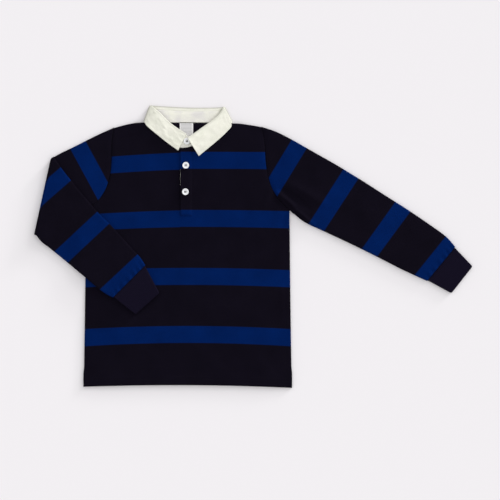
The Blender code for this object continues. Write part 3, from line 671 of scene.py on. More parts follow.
def front_under(x, y):
    """Underside of the front panel."""
    side = ease((SIDE[0].x - abs(x)) / SIDE_EASE)
    beside_armhole = ease((y - ARMPIT_Y + SIDE_EASE) / SIDE_EASE)
    side = side + (1.0 - side) * beside_armhole
    shoulder = ease((shoulder_y(x) - y) / SHOULDER_EASE)
    fill = (PILLOW + rumple(x, y, 0.00020, 0.034)) * side * shoulder
    fill += folds_at(x, y, FRONT_FOLDS) * ease((SIDE[0].x - abs(x)) / FOLD_EASE) * shoulder
    if y > 0.05 and abs(x) > 0.115:
        armhole = LEFT_ARMHOLE_PATH if x > 0 else RIGHT_ARMHOLE_PATH
        fill -= seam_dip(distance_to_path(x, y, armhole)) * shoulder
    body = back_under(x, y) + JERSEY + GAP + max(fill, 0.0)
    if abs(x) < FRONT_NECK_PATH[-1].x and y > front_neck_y(x):
        return NECK_UNDER
    if y < 0.12:
        return body
    away = distance_to_path(x, y, FRONT_NECK_PATH)
    return body + (NECK_UNDER - body) * ease(1.0 - (away - 0.5 * TWILL) / NECK_BLEND)


def front_top(x, y):
    return front_under(x, y) + JERSEY + (hem_ply(x, y) if y < -0.2 else 0.0)


def front_stripes(x, y):
    """Place in the cloth of a point on the front: the right half sits lower beside the placket."""
    across, up = body_stripes(x, y)
    if x < PLACKET_LEFT_X:
        beside = min(max((y + 0.040) / 0.180, 0.0), 1.0)
        up += beside * (FRONT_STEP + FRONT_SKEW * ((PLACKET_LEFT_X - x) / 0.107) ** 1.3)
    return across, up


front = cloth_panel("front_panel", panel_rows(front_edge_y), front_under, front_top, front_stripes, jersey)
front_stitches = hem_stitches("front_hem_stitches", front_top)
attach(front, "root")
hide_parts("front")
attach(front_stitches, "root")


# The left sleeve: one piece of the striped jersey, seamed along the underarm into a tube, set into
# the armhole and gathered into its cuff. It lies flat on the table, with folds at the underarm.
SLEEVE_HEIGHT = 0.0044
SLEEVE_ACROSS = 54
SLEEVE_BEND = 8
SLEEVE_STEPS = 10
EDGE_MASK = 0.0055
CUFF_GATHER = 0.0140
GATHER_WAVE = 0.0115
GATHER_RISE = 0.0007
DEEPEST = 0.0016
ARMHOLE_GAP = 0.0006
# Height of each row of overlocked threads, and how far out it lies in the gap
OVERLOCK_ROWS = ((0.0007, 1.5), (0.0016, 1.0))

Section = namedtuple("Section", "upper_x upper_y lower_x lower_y bulge")

# Where each cross line meets the upper and the lower edge. Bulge is the share of the armhole's
# curve that the line still follows.
LEFT_SLEEVE = [
    Section(0.1266, 0.2020, 0.1734, 0.0606, 1.00),
    Section(0.1500, 0.1941, 0.1790, 0.0555, 0.74),
    Section(0.1750, 0.1816, 0.1852, 0.0507, 0.50),
    Section(0.2000, 0.1675, 0.1930, 0.0442, 0.30),
    Section(0.2250, 0.1533, 0.2028, 0.0381, 0.14),
    Section(0.2500, 0.1391, 0.2133, 0.0331, 0.04),
    Section(0.2750, 0.1240, 0.2258, 0.0275, 0.00),
    Section(0.3000, 0.1086, 0.2478, 0.0173, 0.00),
    Section(0.3377, 0.0844, 0.2828, 0.0009, 0.00),
    Section(0.3752, 0.0606, 0.3188, -0.0169, 0.00),
    Section(0.4132, 0.0346, 0.3568, -0.0363, 0.00),
    Section(0.4386, 0.0160, 0.3848, -0.0496, 0.00),
    Section(0.4542, -0.0014, 0.4064, -0.0594, 0.00),
]
LEFT_SLEEVE_FOLDS = [
    Fold(0.1520, 0.0900, 0.1800, 0.0680, 0.0040, 0.0044),
    Fold(0.1780, 0.0660, 0.2120, 0.0370, 0.0036, 0.0036),
    Fold(0.1700, 0.1080, 0.2350, 0.0700, 0.0075, 0.0022),
    Fold(0.1500, 0.1750, 0.1850, 0.1400, 0.0120, 0.0008),
    Fold(0.2900, 0.0750, 0.3300, 0.0250, 0.0130, 0.0008),
    Fold(0.4250, 0.0100, 0.3850, -0.0300, 0.0080, 0.0010),
    Fold(0.1600, 0.0960, 0.2050, 0.0640, 0.0050, -0.0030),
    Fold(0.2350, 0.1150, 0.2700, 0.0900, 0.0090, -0.0004),
    Fold(0.3500, 0.0500, 0.3750, 0.0200, 0.0080, -0.0004),
]

# Where the stripes cross a sleeve: their middles, measured from a start point along a direction,
# at the sleeve's upper edge and at a far line across it
SleeveStripes = namedtuple("SleeveStripes", "start_x start_y run_x run_y side_x side_y middles")
FAR_LINE = 0.080
LEFT_STRIPES = SleeveStripes(
    0.1278, 0.2077, 0.8508, -0.5255, -0.525, -0.851,
    [(0.0705, 0.0710), (0.1714, 0.1700), (0.2758, 0.2698), (0.3795, 0.3690)],
)


def cloth_along(stripes, x, y, first):
    """Place along a sleeve's cloth of a plan point, from the stripes that run across it."""
    s = (x - stripes.start_x) * stripes.run_x + (y - stripes.start_y) * stripes.run_y
    off = (x - stripes.start_x) * stripes.side_x + (y - stripes.start_y) * stripes.side_y
    middles = [near + (far - near) * off / FAR_LINE for near, far in stripes.middles]
    k = 0
    while k < len(middles) - 2 and s > middles[k + 1]:
        k += 1
    share = (s - middles[k]) / (middles[k + 1] - middles[k])
    return STRIPE_FROM_CENTRE + STRIPE_PITCH * (first + k + share)


def flat_tube(width, height, inset, across, bend):
    """(distance from the upper edge, height) round a flattened tube, underside first."""
    middle, radius = height / 2, height / 2 - inset
    straight = width - height
    turns = [math.pi * k / bend for k in range(1, bend)]
    points = [(middle + straight * k / across, middle - radius) for k in range(across + 1)]
    points += [(width - middle + radius * math.sin(t), middle - radius * math.cos(t)) for t in turns]
    points += [(width - middle - straight * k / across, middle + radius) for k in range(across + 1)]
    points += [(middle - radius * math.sin(t), middle + radius * math.cos(t)) for t in turns]
    return points


def round_marks(points):
    """Distances round a closed ring, with the full length last."""
    marks = [0.0]
    for a, b in zip(points, points[1:] + points[:1]):
        marks.append(marks[-1] + math.dist(a, b))
    return marks


def length_of(section):
    return math.dist(section[:2], section[2:4])


def cross_line(section, a):
    """Point in plan at a distance along a cross line, which keeps part of the armhole's curve."""
    path = LEFT_ARMHOLE_PATH if section.upper_x > 0 else RIGHT_ARMHOLE_PATH
    share = a / length_of(section)
    curve = along(path, share) - Vector(path[0]).lerp(Vector(path[-1]), share)
    return Vector(section[:2]).lerp(Vector(section[2:4]), share) + section.bulge * curve


def cloth_tube(name, rings, cloth, material):
    """A closed tube wall through rings, joined round and back to the first, with each ring's places
    in the cloth, which has one more than the ring's points."""
    count = len(rings[0])
    points = [point for ring in rings for point in ring]
    faces, corners = [], []
    for i in range(len(rings)):
        j = (i + 1) % len(rings)
        for k in range(count):
            m = (k + 1) % count
            faces.append([i * count + k, i * count + m, j * count + m, j * count + k])
            corners.append([cloth[i][k], cloth[i][k + 1], cloth[j][k + 1], cloth[j][k]])
    return mesh_from(name, points, faces, corners, material)


def edge_fade(a, width):
    """1 over most of a tube's width, and 0 at its two edges."""
    return ease(a / EDGE_MASK) * ease((width - a) / EDGE_MASK)


def section_gap(one, other):
    """Distance between the middles of two cross lines."""
    return math.dist(
        ((one.upper_x + one.lower_x) / 2, (one.upper_y + one.lower_y) / 2),
        ((other.upper_x + other.lower_x) / 2, (other.upper_y + other.lower_y) / 2),
    )


def gathers(a, distance):
    """Small uneven gathers where a sleeve is drawn into its narrower cuff."""
    fade = ease(1.0 - distance / CUFF_GATHER)
    pucker = math.sin(2 * math.pi * a / GATHER_WAVE + 1.8 * math.sin(a / 0.014))
    return GATHER_RISE * fade * pucker - 0.8 * seam_dip(distance)


def tube_top(section, a, place, folds, to_armhole, to_cuff):
    """Rise of a tube's upper side over its plain height."""
    loose = folds_at(*place, folds) + rumple(*place, 0.00022, 0.030)
    rise = loose - seam_dip(to_armhole) + gathers(a, to_cuff)
    return max(rise, -DEEPEST) * edge_fade(a, length_of(section))


def floor_ring(section, inset, folds, to_armhole, to_cuff):
    """Ring of a tube that lies on the table, underside first."""
    ring = []
    for a, h in flat_tube(length_of(section), SLEEVE_HEIGHT, inset, SLEEVE_ACROSS, SLEEVE_BEND):
        place = cross_line(section, a)
        rise = tube_top(section, a, place, folds, to_armhole, to_cuff) if h > SLEEVE_HEIGHT / 2 else 0.0
        ring.append((place.x, place.y, h + rise))
    return ring


def ring_cloth(section, along_at):
    """Places in the cloth round a ring: the distance round it, and the distance along the sleeve."""
    outline = flat_tube(length_of(section), SLEEVE_HEIGHT, 0.0, SLEEVE_ACROSS, SLEEVE_BEND)
    marks = round_marks(outline)
    places = [cross_line(section, a) for a, h in outline]
    return [(mark, along_at(*place)) for mark, place in zip(marks, places + places[:1])]


def wall(rings_at, cloth):
    """Rings and places of a tube's outer face, then of its inner face and back."""
    outer = [rings_at(i, 0.0) for i in range(len(cloth))]
    inner = [rings_at(i, JERSEY) for i in range(len(cloth))]
    return outer + inner[::-1], cloth + cloth[::-1]


def seam_threads(name, path, beside, under):
    """The overlocked threads that hold a seam together, deep in the gap between its two edges."""
    rows = []
    for height, out in OVERLOCK_ROWS:
        plan = [(x + out * beside, y) for x, y in (p[:2] for p in path)]
        rows.append([(x, y, under(x, y) + height) for x, y in plan])
    threads = stitch_rows(name, rows, 0.0009, 0.0024, 0.0015, navy_thread)
    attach(threads, "root")
    return threads


left_sections = smooth_path(LEFT_SLEEVE, SLEEVE_STEPS)
left_rings, left_cloth = wall(
    lambda i, inset: floor_ring(
        left_sections[i],
        inset,
        LEFT_SLEEVE_FOLDS,
        section_gap(left_sections[i], left_sections[0]),
        section_gap(left_sections[i], left_sections[-1]),
    ),
    [ring_cloth(section, lambda x, y: cloth_along(LEFT_STRIPES, x, y, 1)) for section in left_sections],
)
left_sleeve = cloth_tube("left_sleeve", left_rings, left_cloth, jersey)
left_seam = seam_threads("left_armhole_seam", LEFT_ARMHOLE_PATH, ARMHOLE_GAP / 2, lambda x, y: 0.0)
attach(left_sleeve, "root")
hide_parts("sleeve_left")


# The right sleeve: the same tube, folded at the elbow. Its upper arm lies on the table, and its
# forearm is turned over on top, across the upper arm and the front of the shirt.
FOLD_CLEARANCE = 0.0006
FOLD_TURNS = 14
FOLD_SLANT = 0.85
DROOP = 0.0034
DROOP_RUN = 0.0300
DROOP_MARGIN = 0.0025
FOLD_FADE = 0.0120

RIGHT_UPPER_ARM = [
    Section(-0.1266, 0.2004, -0.1750, 0.0602, 1.00),
    Section(-0.1500, 0.1900, -0.1850, 0.0535, 0.70),
    Section(-0.1740, 0.1782, -0.2000, 0.0455, 0.40),
    Section(-0.1960, 0.1671, -0.2180, 0.0365, 0.18),
    Section(-0.2130, 0.1590, -0.2380, 0.0265, 0.05),
    Section(-0.2270, 0.1514, -0.2562, 0.0178, 0.00),
]
RIGHT_FOREARM = [
    Section(-0.2270, 0.1514, -0.2562, 0.0178, 0.00),
    Section(-0.2140, 0.1320, -0.2477, 0.0070, 0.00),
    Section(-0.2000, 0.1140, -0.2344, -0.0034, 0.00),
    Section(-0.1830, 0.0935, -0.2205, -0.0146, 0.00),
    Section(-0.1660, 0.0733, -0.2066, -0.0260, 0.00),
    Section(-0.1506, 0.0553, -0.1930, -0.0372, 0.00),
    Section(-0.1320, 0.0370, -0.1787, -0.0489, 0.00),
    Section(-0.1140, 0.0175, -0.1640, -0.0613, 0.00),
    Section(-0.0970, -0.0010, -0.1498, -0.0733, 0.00),
    Section(-0.0818, -0.0178, -0.1372, -0.0820, 0.00),
    Section(-0.0716, -0.0325, -0.1266, -0.0874, 0.00),
]
UPPER_ARM_FOLDS = [
    Fold(-0.1500, 0.1820, -0.1750, 0.1500, 0.0100, 0.0006),
    Fold(-0.1420, 0.1250, -0.1500, 0.1050, 0.0060, -0.0005),
]
FOREARM_FOLDS = [
    Fold(-0.2180, 0.1150, -0.2350, 0.0500, 0.0110, 0.0010),
    Fold(-0.1950, 0.0300, -0.1650, -0.0150, 0.0120, 0.0009),
    Fold(-0.1250, -0.0150, -0.1050, -0.0600, 0.0090, 0.0009),
    Fold(-0.2050, 0.1000, -0.2150, 0.0650, 0.0060, -0.0005),
    Fold(-0.1500, 0.0250, -0.1300, 0.0000, 0.0080, -0.0004),
]
UPPER_ARM_STRIPES = SleeveStripes(
    -0.1260, 0.2020, -0.896, -0.444, 0.444, -0.896, [(0.0677, 0.0647), (0.1672, 0.1642)]
)
FOREARM_STRIPES = SleeveStripes(
    -0.2310, 0.1496, 0.654, -0.756, -0.756, -0.654, [(0.0370, 0.0370), (0.1344, 0.1375), (0.2340, 0.2370)]
)


def fold_ring(section, inset, turn):
    """Ring on the elbow's fold, turned by an angle about a line just above the lower layer."""
    axis_height = SLEEVE_HEIGHT + FOLD_CLEARANCE / 2
    run = (Vector(section[2:4]) - Vector(section[:2])).normalized()
    outward = Vector((run.y, -run.x))
    ring = []
    for a, h in flat_tube(length_of(section), SLEEVE_HEIGHT, inset, SLEEVE_ACROSS, SLEEVE_BEND):
        radius = axis_height - h
        slant = run * FOLD_SLANT * (1 - a / length_of(section))
        place = cross_line(section, a) + (outward + slant) * radius * math.sin(turn)
        ring.append((place.x, place.y, axis_height - radius * math.cos(turn)))
    return ring


def forearm_under(x, y):
    """Underside of the forearm: level on what it lies on, and drooping beside it."""
    tip, fold_low = RIGHT_UPPER_ARM[0], RIGHT_UPPER_ARM[-1]
    run = Vector(fold_low[2:4]) - Vector(tip[2:4])
    below_arm = (run.x * (y - tip.lower_y) - run.y * (x - tip.lower_x)) / run.length
    free = min(below_arm, -x - SIDE[0].x) - DROOP_MARGIN
    return SLEEVE_HEIGHT + FOLD_CLEARANCE - DROOP * ease(free / DROOP_RUN)


def forearm_ring(section, inset, to_fold, to_cuff):
    """Ring of the forearm, whose first side is up."""
    width = length_of(section)
    ring = []
    for a, h in flat_tube(width, SLEEVE_HEIGHT, inset, SLEEVE_ACROSS, SLEEVE_BEND):
        place = cross_line(section, a)
        rise = 0.0
        if h < SLEEVE_HEIGHT / 2:
            rise = tube_top(section, a, place, FOREARM_FOLDS, 1.0, to_cuff) * ease(to_fold / FOLD_FADE)
        ring.append((place.x, place.y, forearm_under(*place) + SLEEVE_HEIGHT - h + rise))
    return ring


upper_arm = smooth_path(RIGHT_UPPER_ARM, SLEEVE_STEPS)
forearm = smooth_path(RIGHT_FOREARM, SLEEVE_STEPS)
elbow_turns = [math.pi * i / FOLD_TURNS for i in range(1, FOLD_TURNS)]


def right_ring(i, inset):
    if i < len(upper_arm):
        section = upper_arm[i]
        to_fold = section_gap(section, upper_arm[-1])
        folds = UPPER_ARM_FOLDS if to_fold > FOLD_FADE else []
        return floor_ring(section, inset, folds, section_gap(section, upper_arm[0]), 1.0)
    i -= len(upper_arm)
    if i < len(elbow_turns):
        return fold_ring(upper_arm[-1], inset, elbow_turns[i])
    section = forearm[i - len(elbow_turns)]
    return forearm_ring(section, inset, section_gap(section, forearm[0]), section_gap(section, forearm[-1]))


def upper_arm_cloth(x, y):
    return cloth_along(UPPER_ARM_STRIPES, x, y, 1)


def forearm_cloth(x, y):
    return cloth_along(FOREARM_STRIPES, x, y, 2)


right_cloth = [ring_cloth(section, upper_arm_cloth) for section in upper_arm]
for turn in elbow_turns:
    share = turn / math.pi
    right_cloth.append(
        ring_cloth(
            upper_arm[-1],
            lambda x, y, share=share: upper_arm_cloth(x, y) * (1 - share) + forearm_cloth(x, y) * share,
        )
    )
right_cloth += [ring_cloth(section, forearm_cloth) for section in forearm]
right_rings, right_cloth = wall(right_ring, right_cloth)
right_sleeve = cloth_tube("right_sleeve", right_rings, right_cloth, jersey)
right_seam = seam_threads("right_armhole_seam", RIGHT_ARMHOLE_PATH, -ARMHOLE_GAP / 2, lambda x, y: 0.0)
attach(right_sleeve, "root")
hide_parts("sleeve_right")


# The cuffs: tubes of rib knit, narrower than the sleeve ends that are gathered into them, with
# rounded ends where the knit is turned in. The ribs run along the arm.
RIB_KNIT = 0.0015
SEAM = 0.0005
CUFF_HEIGHT = 0.0040
CUFF_EASE = 0.0014
CUFF_STEPS = 26
CUFF_CORNER = 0.0034
RIBS = 58
RIB_POINTS = 6
RIB_RISE = 0.00022
NAVY_RIB = (0.0066, 0.0049, 0.0138)
LEFT_CUFF_END = Section(0.4838, -0.0344, 0.4475, -0.0804, 0.00)
RIGHT_CUFF_END = Section(-0.0478, -0.0793, -0.0884, -0.1160, 0.00)


def rib_tree():
    """Ribs round a tube: its wall moves out and in along its normals, in step round the tube."""
    sizes = [("Tube", "Geometry"), ("Ribs", "Float"), ("Rise", "Float"), ("Knit", "Material")]
    tree, given = start_tree("knit_ribs", sizes, "Ribbed tube")
    round_it = add_node(tree, "GeometryNodeInputNamedAttribute", {"Name": "round"}, data_type="FLOAT")
    outside = add_node(tree, "GeometryNodeInputNamedAttribute", {"Name": "outside"}, data_type="FLOAT")
    ribs = reckon(tree, "MULTIPLY", round_it.outputs["Attribute"], given["Ribs"])
    turn = reckon(tree, "MULTIPLY", ribs, 2 * math.pi)
    rise = reckon(tree, "MULTIPLY", reckon(tree, "COSINE", turn), given["Rise"])
    rise = reckon(tree, "MULTIPLY", rise, outside.outputs["Attribute"])
    normal = tree.nodes.new("GeometryNodeInputNormal").outputs["Normal"]
    offset = add_node(tree, "ShaderNodeVectorMath", {0: normal, "Scale": rise}, operation="SCALE")
    shift = {"Geometry": given["Tube"], "Offset": offset.outputs["Vector"]}
    moved = add_node(tree, "GeometryNodeSetPosition", shift)
    return end_tree(tree, moved.outputs["Geometry"], given["Knit"], "Ribbed tube")


def rib_material():
    """Navy rib knit: fine rows of loops across the ribs."""
    material, tree, shader = plain_material("navy_rib", NAVY_RIB, 0.9)
    loops = reckon(tree, "MULTIPLY_ADD", wave(tree, cloth_place(tree)[1], COURSE), 0.5, 0.5)
    fibres = mottle(tree, 800.0)
    # Darker between the rows of loops: painted shade in the rib knit's recesses, with uneven fibres
    shade = reckon(tree, "ADD", reckon(tree, "MULTIPLY", loops, 0.3), reckon(tree, "MULTIPLY", fibres, 0.6))
    dye(tree, shader, NAVY_RIB, reckon(tree, "ADD", shade, 0.55))
    emboss(tree, shader, reckon(tree, "ADD", loops, fibres), 0.00015, 0.7)
    shader.inputs["Specular IOR Level"].default_value = 0.03
    shader.inputs["Sheen Weight"].default_value = 0.006
    shader.inputs["Sheen Roughness"].default_value = 0.45
    return material


def even_tube(width, height, inset, count):
    """Evenly spaced points round a flattened tube, as (distance from the upper edge, height)."""
    middle, radius = height / 2, height / 2 - inset
    straight, bend = width - height, math.pi * height / 2
    points = []
    for k in range(count):
        at = 2 * (straight + bend) * k / count
        if at < straight:
            points.append((middle + at, middle - radius))
        elif at < straight + bend:
            turn = (at - straight) / middle
            points.append((width - middle + radius * math.sin(turn), middle - radius * math.cos(turn)))
        elif at < 2 * straight + bend:
            points.append((width - middle - (at - straight - bend), middle + radius))
        else:
            turn = (at - 2 * straight - bend) / middle
            points.append((middle - radius * math.sin(turn), middle + radius * math.cos(turn)))
    return points


def cuff_sections(sleeve_end, cuff_end):
    """Cross lines of a cuff, from just past the sleeve's end to the cuff's own end."""
    upper, lower = Vector(sleeve_end[:2]), Vector(sleeve_end[2:4])
    far_upper, far_lower = Vector(cuff_end[:2]), Vector(cuff_end[2:4])
    run = (lower - upper).normalized()
    outward = Vector((run.y, -run.x))
    if outward.dot(far_upper + far_lower - upper - lower) < 0:
        outward.negate()
    upper = upper + outward * SEAM + run * CUFF_EASE
    lower = lower + outward * SEAM - run * CUFF_EASE
    length = ((far_upper + far_lower) - (upper + lower)).length / 2
    rows = []
    for i in range(CUFF_STEPS + 1):
        share = 1 - (1 - i / CUFF_STEPS) ** 1.5
        into_corner = max(1 - length * (1 - share) / CUFF_CORNER, 0.0)
        trim = run * CUFF_CORNER * 0.8 * (1 - math.sqrt(1 - into_corner**2))
        ends = (*upper.lerp(far_upper, share) + trim, *lower.lerp(far_lower, share) - trim)
        rows.append(Section(*ends, 0.0))
    return rows


def make_cuff(name, sleeve_end, cuff_end, under):
    """A cuff: its outer wall, a rounded end and its inner wall, and the ribs."""
    sections = cuff_sections(sleeve_end, cuff_end)
    count = RIBS * RIB_POINTS
    short = Section(*(last + (before - last) * 0.25 for last, before in zip(sections[-1], sections[-2])))
    outer = [(section, RIB_RISE, 1.0) for section in sections[:-1]] + [(short, RIB_RISE, 1.0)]
    end = [(sections[-1], RIB_RISE + 0.3 * RIB_KNIT, 0.5), (sections[-1], 0.8 * RIB_KNIT, 0.0)]
    inner = [(short, RIB_KNIT, 0.0)] + [(section, RIB_KNIT, 0.0) for section in sections[-2::-1]]
    rings, cloth, shares, outside = [], [], [], []
    for section, inset, ribbed in outer + end + inner:
        width = length_of(section)
        outline = even_tube(width, CUFF_HEIGHT, inset, count)
        from_seam = section_gap(section, sections[0])
        ring = []
        for k, (a, h) in enumerate(outline):
            place = cross_line(section, a)
            dip = 0.7 * seam_dip(from_seam) * edge_fade(a, width) if h > CUFF_HEIGHT / 2 else 0.0
            ring.append((place.x, place.y, under(*place) + h - dip))
            shares.append(k / count)
            outside.append(ribbed)
        rings.append(ring)
        cloth.append([(2 * width * k / count, from_seam) for k in range(count + 1)])
    cuff = cloth_tube(name, rings, cloth, rib_knit)
    for label, numbers in (("round", shares), ("outside", outside)):
        cuff.data.attributes.new(label, "FLOAT", "POINT").data.foreach_set("value", numbers)
    made_by(RIB_SHAPE, cuff, {"Ribs": float(RIBS), "Rise": RIB_RISE, "Knit": rib_knit})
    upper, lower = Vector(sections[0][:2]), Vector(sections[0][2:4])
    seam_path = [upper.lerp(lower, 0.03 + 0.94 * k / 40) for k in range(41)]
    threads = seam_threads(name + "_seam", seam_path, 0.0, under)
    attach(cuff, "root")
    return cuff, threads


RIB_SHAPE = rib_tree()
rib_knit = rib_material()
left_cuff, left_threads = make_cuff("left_cuff", LEFT_SLEEVE[-1], LEFT_CUFF_END, lambda x, y: 0.0)
right_cuff, right_threads = make_cuff("right_cuff", RIGHT_FOREARM[-1], RIGHT_CUFF_END, forearm_under)
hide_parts("cuff_left")
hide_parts("cuff_right")


# The collar: a leaf and a stand of cream cotton twill. The stand is sewn to the neck, and the leaf
# to the stand's upper edge. The leaf rolls over and lies round the neck, its back under the shirt.
SEAM_BELOW_ROLL = 0.0058
LEAF_LIFT_LEFT, LEAF_LIFT_RIGHT = 0.0048, 0.0010
# The stand's own ends don't lift: this only marks its left side, which reaches past the centre line
STAND_LEFT_MARK = 1e-9
LEAF_MIDDLE = LEAF_INNER + TWILL / 2
STAND_MIDDLE = STAND_INNER + TWILL / 2
ROLL_RADIUS = (LEAF_MIDDLE - STAND_MIDDLE) / 2
COLLAR_STEPS = 7
CRUMPLE_LEFT, CRUMPLE_RIGHT = 0.0008, 0.0022
PUFF_LEFT, PUFF_RIGHT = 0.0004, 0.0008
PUFF_REACH = 0.0200
CORNER_ROUND = 0.0048
CORNER_FADE = 0.0120
CORNER_TURNS = 16
PUFF_AT, PUFF_SPREAD = 0.32, 0.25
CRUMPLE_SIZE = 0.0095
CRUMPLE_DEEPEST = 0.00025
STITCH_DENT = 0.00022
LEAST_TUCK = 0.0004
# Distance from the centre line where each side of the leaf starts to roll, and where it is rolled
LEFT_ROLL_START, RIGHT_ROLL_START, ROLL_FULL = 0.0060, 0.0130, 0.0330
RIPPLE_LENGTH = 0.0075
RIPPLE_RISE, BROAD_RISE = 0.00022, 0.00015
EDGE_STITCH = 0.0055
CREAM = (0.860, 0.850, 0.757)
CREAM_SHADE = (0.815, 0.815, 0.712)
CREAM_INSIDE = (0.735, 0.716, 0.692)
TWILL_LINE = 0.00085

Band = namedtuple("Band", "roll_x roll_y edge_x edge_y")

# Each cross line meets the roll line at the top and the band's other edge
LEFT_CORNER = Band(0.0595, 0.2360, 0.0742, 0.2082)
RIGHT_CORNER = Band(-0.0614, 0.2385, -0.0725, 0.2085)
LEFT_LEAF_FRONT = [
    Band(-0.0002, 0.1838, 0.0193, 0.1528),
    Band(0.0078, 0.1889, 0.0276, 0.1597),
    Band(0.0210, 0.1988, 0.0431, 0.1724),
    Band(0.0355, 0.2090, 0.0576, 0.1849),
    Band(0.0488, 0.2196, 0.0685, 0.1956),
    Band(0.0560, 0.2278, 0.0740, 0.2022),
    LEFT_CORNER,
]
RIGHT_LEAF_FRONT = [
    RIGHT_CORNER,
    Band(-0.0560, 0.2335, -0.0693, 0.2036),
    Band(-0.0470, 0.2262, -0.0585, 0.1942),
    Band(-0.0336, 0.2126, -0.0434, 0.1819),
    Band(-0.0196, 0.2017, -0.0298, 0.1714),
    Band(-0.0028, 0.1906, -0.0163, 0.1620),
]
LEAF_BACK = [
    LEFT_CORNER,
    Band(0.0480, 0.2352, 0.0560, 0.2062),
    Band(0.0250, 0.2347, 0.0250, 0.2038),
    Band(0.0000, 0.2350, 0.0000, 0.2032),
    Band(-0.0250, 0.2362, -0.0250, 0.2038),
    Band(-0.0500, 0.2378, -0.0560, 0.2062),
    RIGHT_CORNER,
]
# The stand's cross lines: roll line, and how far along the neck seam each one ends
STAND_FRONT_LEFT = [
    Band(-0.0112, 0.1954, -0.0122, None),
    Band(-0.0030, 0.1895, -0.0045, None),
    Band(0.0040, 0.1870, 0.0070, None),
    Band(0.0210, 0.1980, 0.0270, None),
    Band(0.0355, 0.2082, 0.0430, None),
    Band(0.0488, 0.2190, 0.0580, None),
    LEFT_CORNER,
]
STAND_FRONT_RIGHT = [
    RIGHT_CORNER,
    Band(-0.0470, 0.2254, -0.0560, None),
    Band(-0.0336, 0.2118, -0.0410, None),
    Band(-0.0196, 0.2009, -0.0240, None),
    Band(-0.0118, 0.1959, -0.0128, None),
]
STAND_BACK = [
    LEFT_CORNER,
    Band(0.0480, 0.2352, 0.0550, 0.2093),
    Band(0.0000, 0.2350, 0.0000, 0.2098),
    Band(-0.0500, 0.2378, -0.0550, 0.2093),
    RIGHT_CORNER,
]


def twill_material(name, light, shade_of_it):
    """Cream twill: slanting ridges, uneven in tone, with painted shade in its weave and at the collar's
    outline and rolls.
    """
    material, tree, shader = plain_material(name, light, 0.85)
    across, up = cloth_place(tree)
    ridge = wave(tree, reckon(tree, "ADD", across, up), TWILL_LINE)
    weft = wave(tree, across, 0.6 * TWILL_LINE)
    weave = reckon(tree, "MULTIPLY_ADD", reckon(tree, "MULTIPLY_ADD", weft, 0.35, ridge), 0.37, 0.5)
    tone = ramp(tree, mottle(tree, 55.0, 3.0), 0.38, 0.66)
    slubs = reckon(tree, "MULTIPLY_ADD", mottle(tree, 600.0), 0.10, 0.97)
    # The weave is darker in its grooves: painted shade
    shade = reckon(tree, "MULTIPLY", reckon(tree, "MULTIPLY_ADD", weave, 0.10, 0.90), slubs)
    # Painted shade at the collar's outline and roll lines, stored on the mesh points
    painted_shade = add_node(tree, "ShaderNodeAttribute", attribute_name="painted_shade").outputs["Fac"]
    shade = reckon(tree, "MULTIPLY", shade, reckon(tree, "SUBTRACT", 1.0, painted_shade))
    dye(tree, shader, blend(tree, tone, light, shade_of_it), shade)
    emboss(tree, shader, weave, 0.00010, 0.6)
    shader.inputs["Specular IOR Level"].default_value = 0.05
    return material


def neck_seam(band):
    """A stand row with its lower edge put just inside the front neck seam."""
    if band.edge_y is not None:
        return band
    return band._replace(edge_y=front_neck_y(band.edge_x) + 1.4 * SEAM)


Stance = namedtuple("Stance", "band turn from_front lift")


def collar_stances(left_front, back, right_front, lifts, outward_turns):
    """The cross lines in order, each with its turn from face up at the front to face down behind."""
    stances = []
    rows = smooth_path(left_front, COLLAR_STEPS)
    stances += [Stance(band, 0.0, i / (len(rows) - 1), lifts[0]) for i, band in enumerate(rows)]
    stances += [Stance(rows[-1], turn, 1.0, 0.0) for turn in outward_turns]
    stances += [Stance(band, math.pi, 1.0, 0.0) for band in smooth_path(back, COLLAR_STEPS)]
    rows = smooth_path(right_front, COLLAR_STEPS)
    stances += [Stance(rows[0], turn, 1.0, 0.0) for turn in outward_turns[::-1]]
    stances += [Stance(band, 0.0, 1 - i / (len(rows) - 1), lifts[1]) for i, band in enumerate(rows)]
    return stances


def leaf_profile(width, sweep, tuck):
    """Middle line of the leaf's cross section, from its tucked end round the roll to its outer edge:
    (distance from the roll line, depth, direction)."""
    bend = max(sweep, 0.08) * math.pi
    start = ROLL_RADIUS * math.sin(min(bend, math.pi / 2)) + tuck * max(math.cos(bend), 0.0) + TWILL / 2
    end = (start - ROLL_RADIUS * math.sin(bend), LEAF_MIDDLE - ROLL_RADIUS * (1 - math.cos(bend)))
    line = []
    for k in range(4, 0, -1):
        line.append((end[0] - tuck * k / 4 * math.cos(bend), end[1] - tuck * k / 4 * math.sin(bend), bend))
    for k in range(10, 0, -1):
        turn = bend * k / 10
        depth = LEAF_MIDDLE - ROLL_RADIUS * (1 - math.cos(turn))
        line.append((start - ROLL_RADIUS * math.sin(turn), depth, turn))
    outer = width - TWILL / 2
    line += [(start + (outer - start) * k / 24, LEAF_MIDDLE, 0.0) for k in range(25)]
    return line


def band_profile(width, inset):
    """Middle line of the stand's cross section, from below the roll to its lower edge."""
    start, end = inset + TWILL / 2, width - TWILL / 2
    return [(start + (end - start) * k / 16, STAND_MIDDLE, 0.0) for k in range(17)]


def section_loop(line, thickness):
    """A closed loop round a middle line, with round ends: (distance, depth, index in the line)."""
    half = thickness / 2

    def offset(k, side, ahead):
        d, depth, turn = line[k]
        return (
            d - half * (side * math.sin(turn) - ahead * math.cos(turn)),
            depth + half * (side * math.cos(turn) + ahead * math.sin(turn)),
            k,
        )

    caps = [(math.cos(angle), math.sin(angle)) for angle in (math.pi * i / 5 for i in range(1, 5))]
    loop = [offset(k, 1.0, 0.0) for k in range(len(line))]
    loop += [offset(len(line) - 1, side, ahead) for side, ahead in caps]
    loop += [offset(k, -1.0, 0.0) for k in range(len(line) - 1, -1, -1)]
    loop += [offset(0, -side, -ahead) for side, ahead in caps]
    return loop


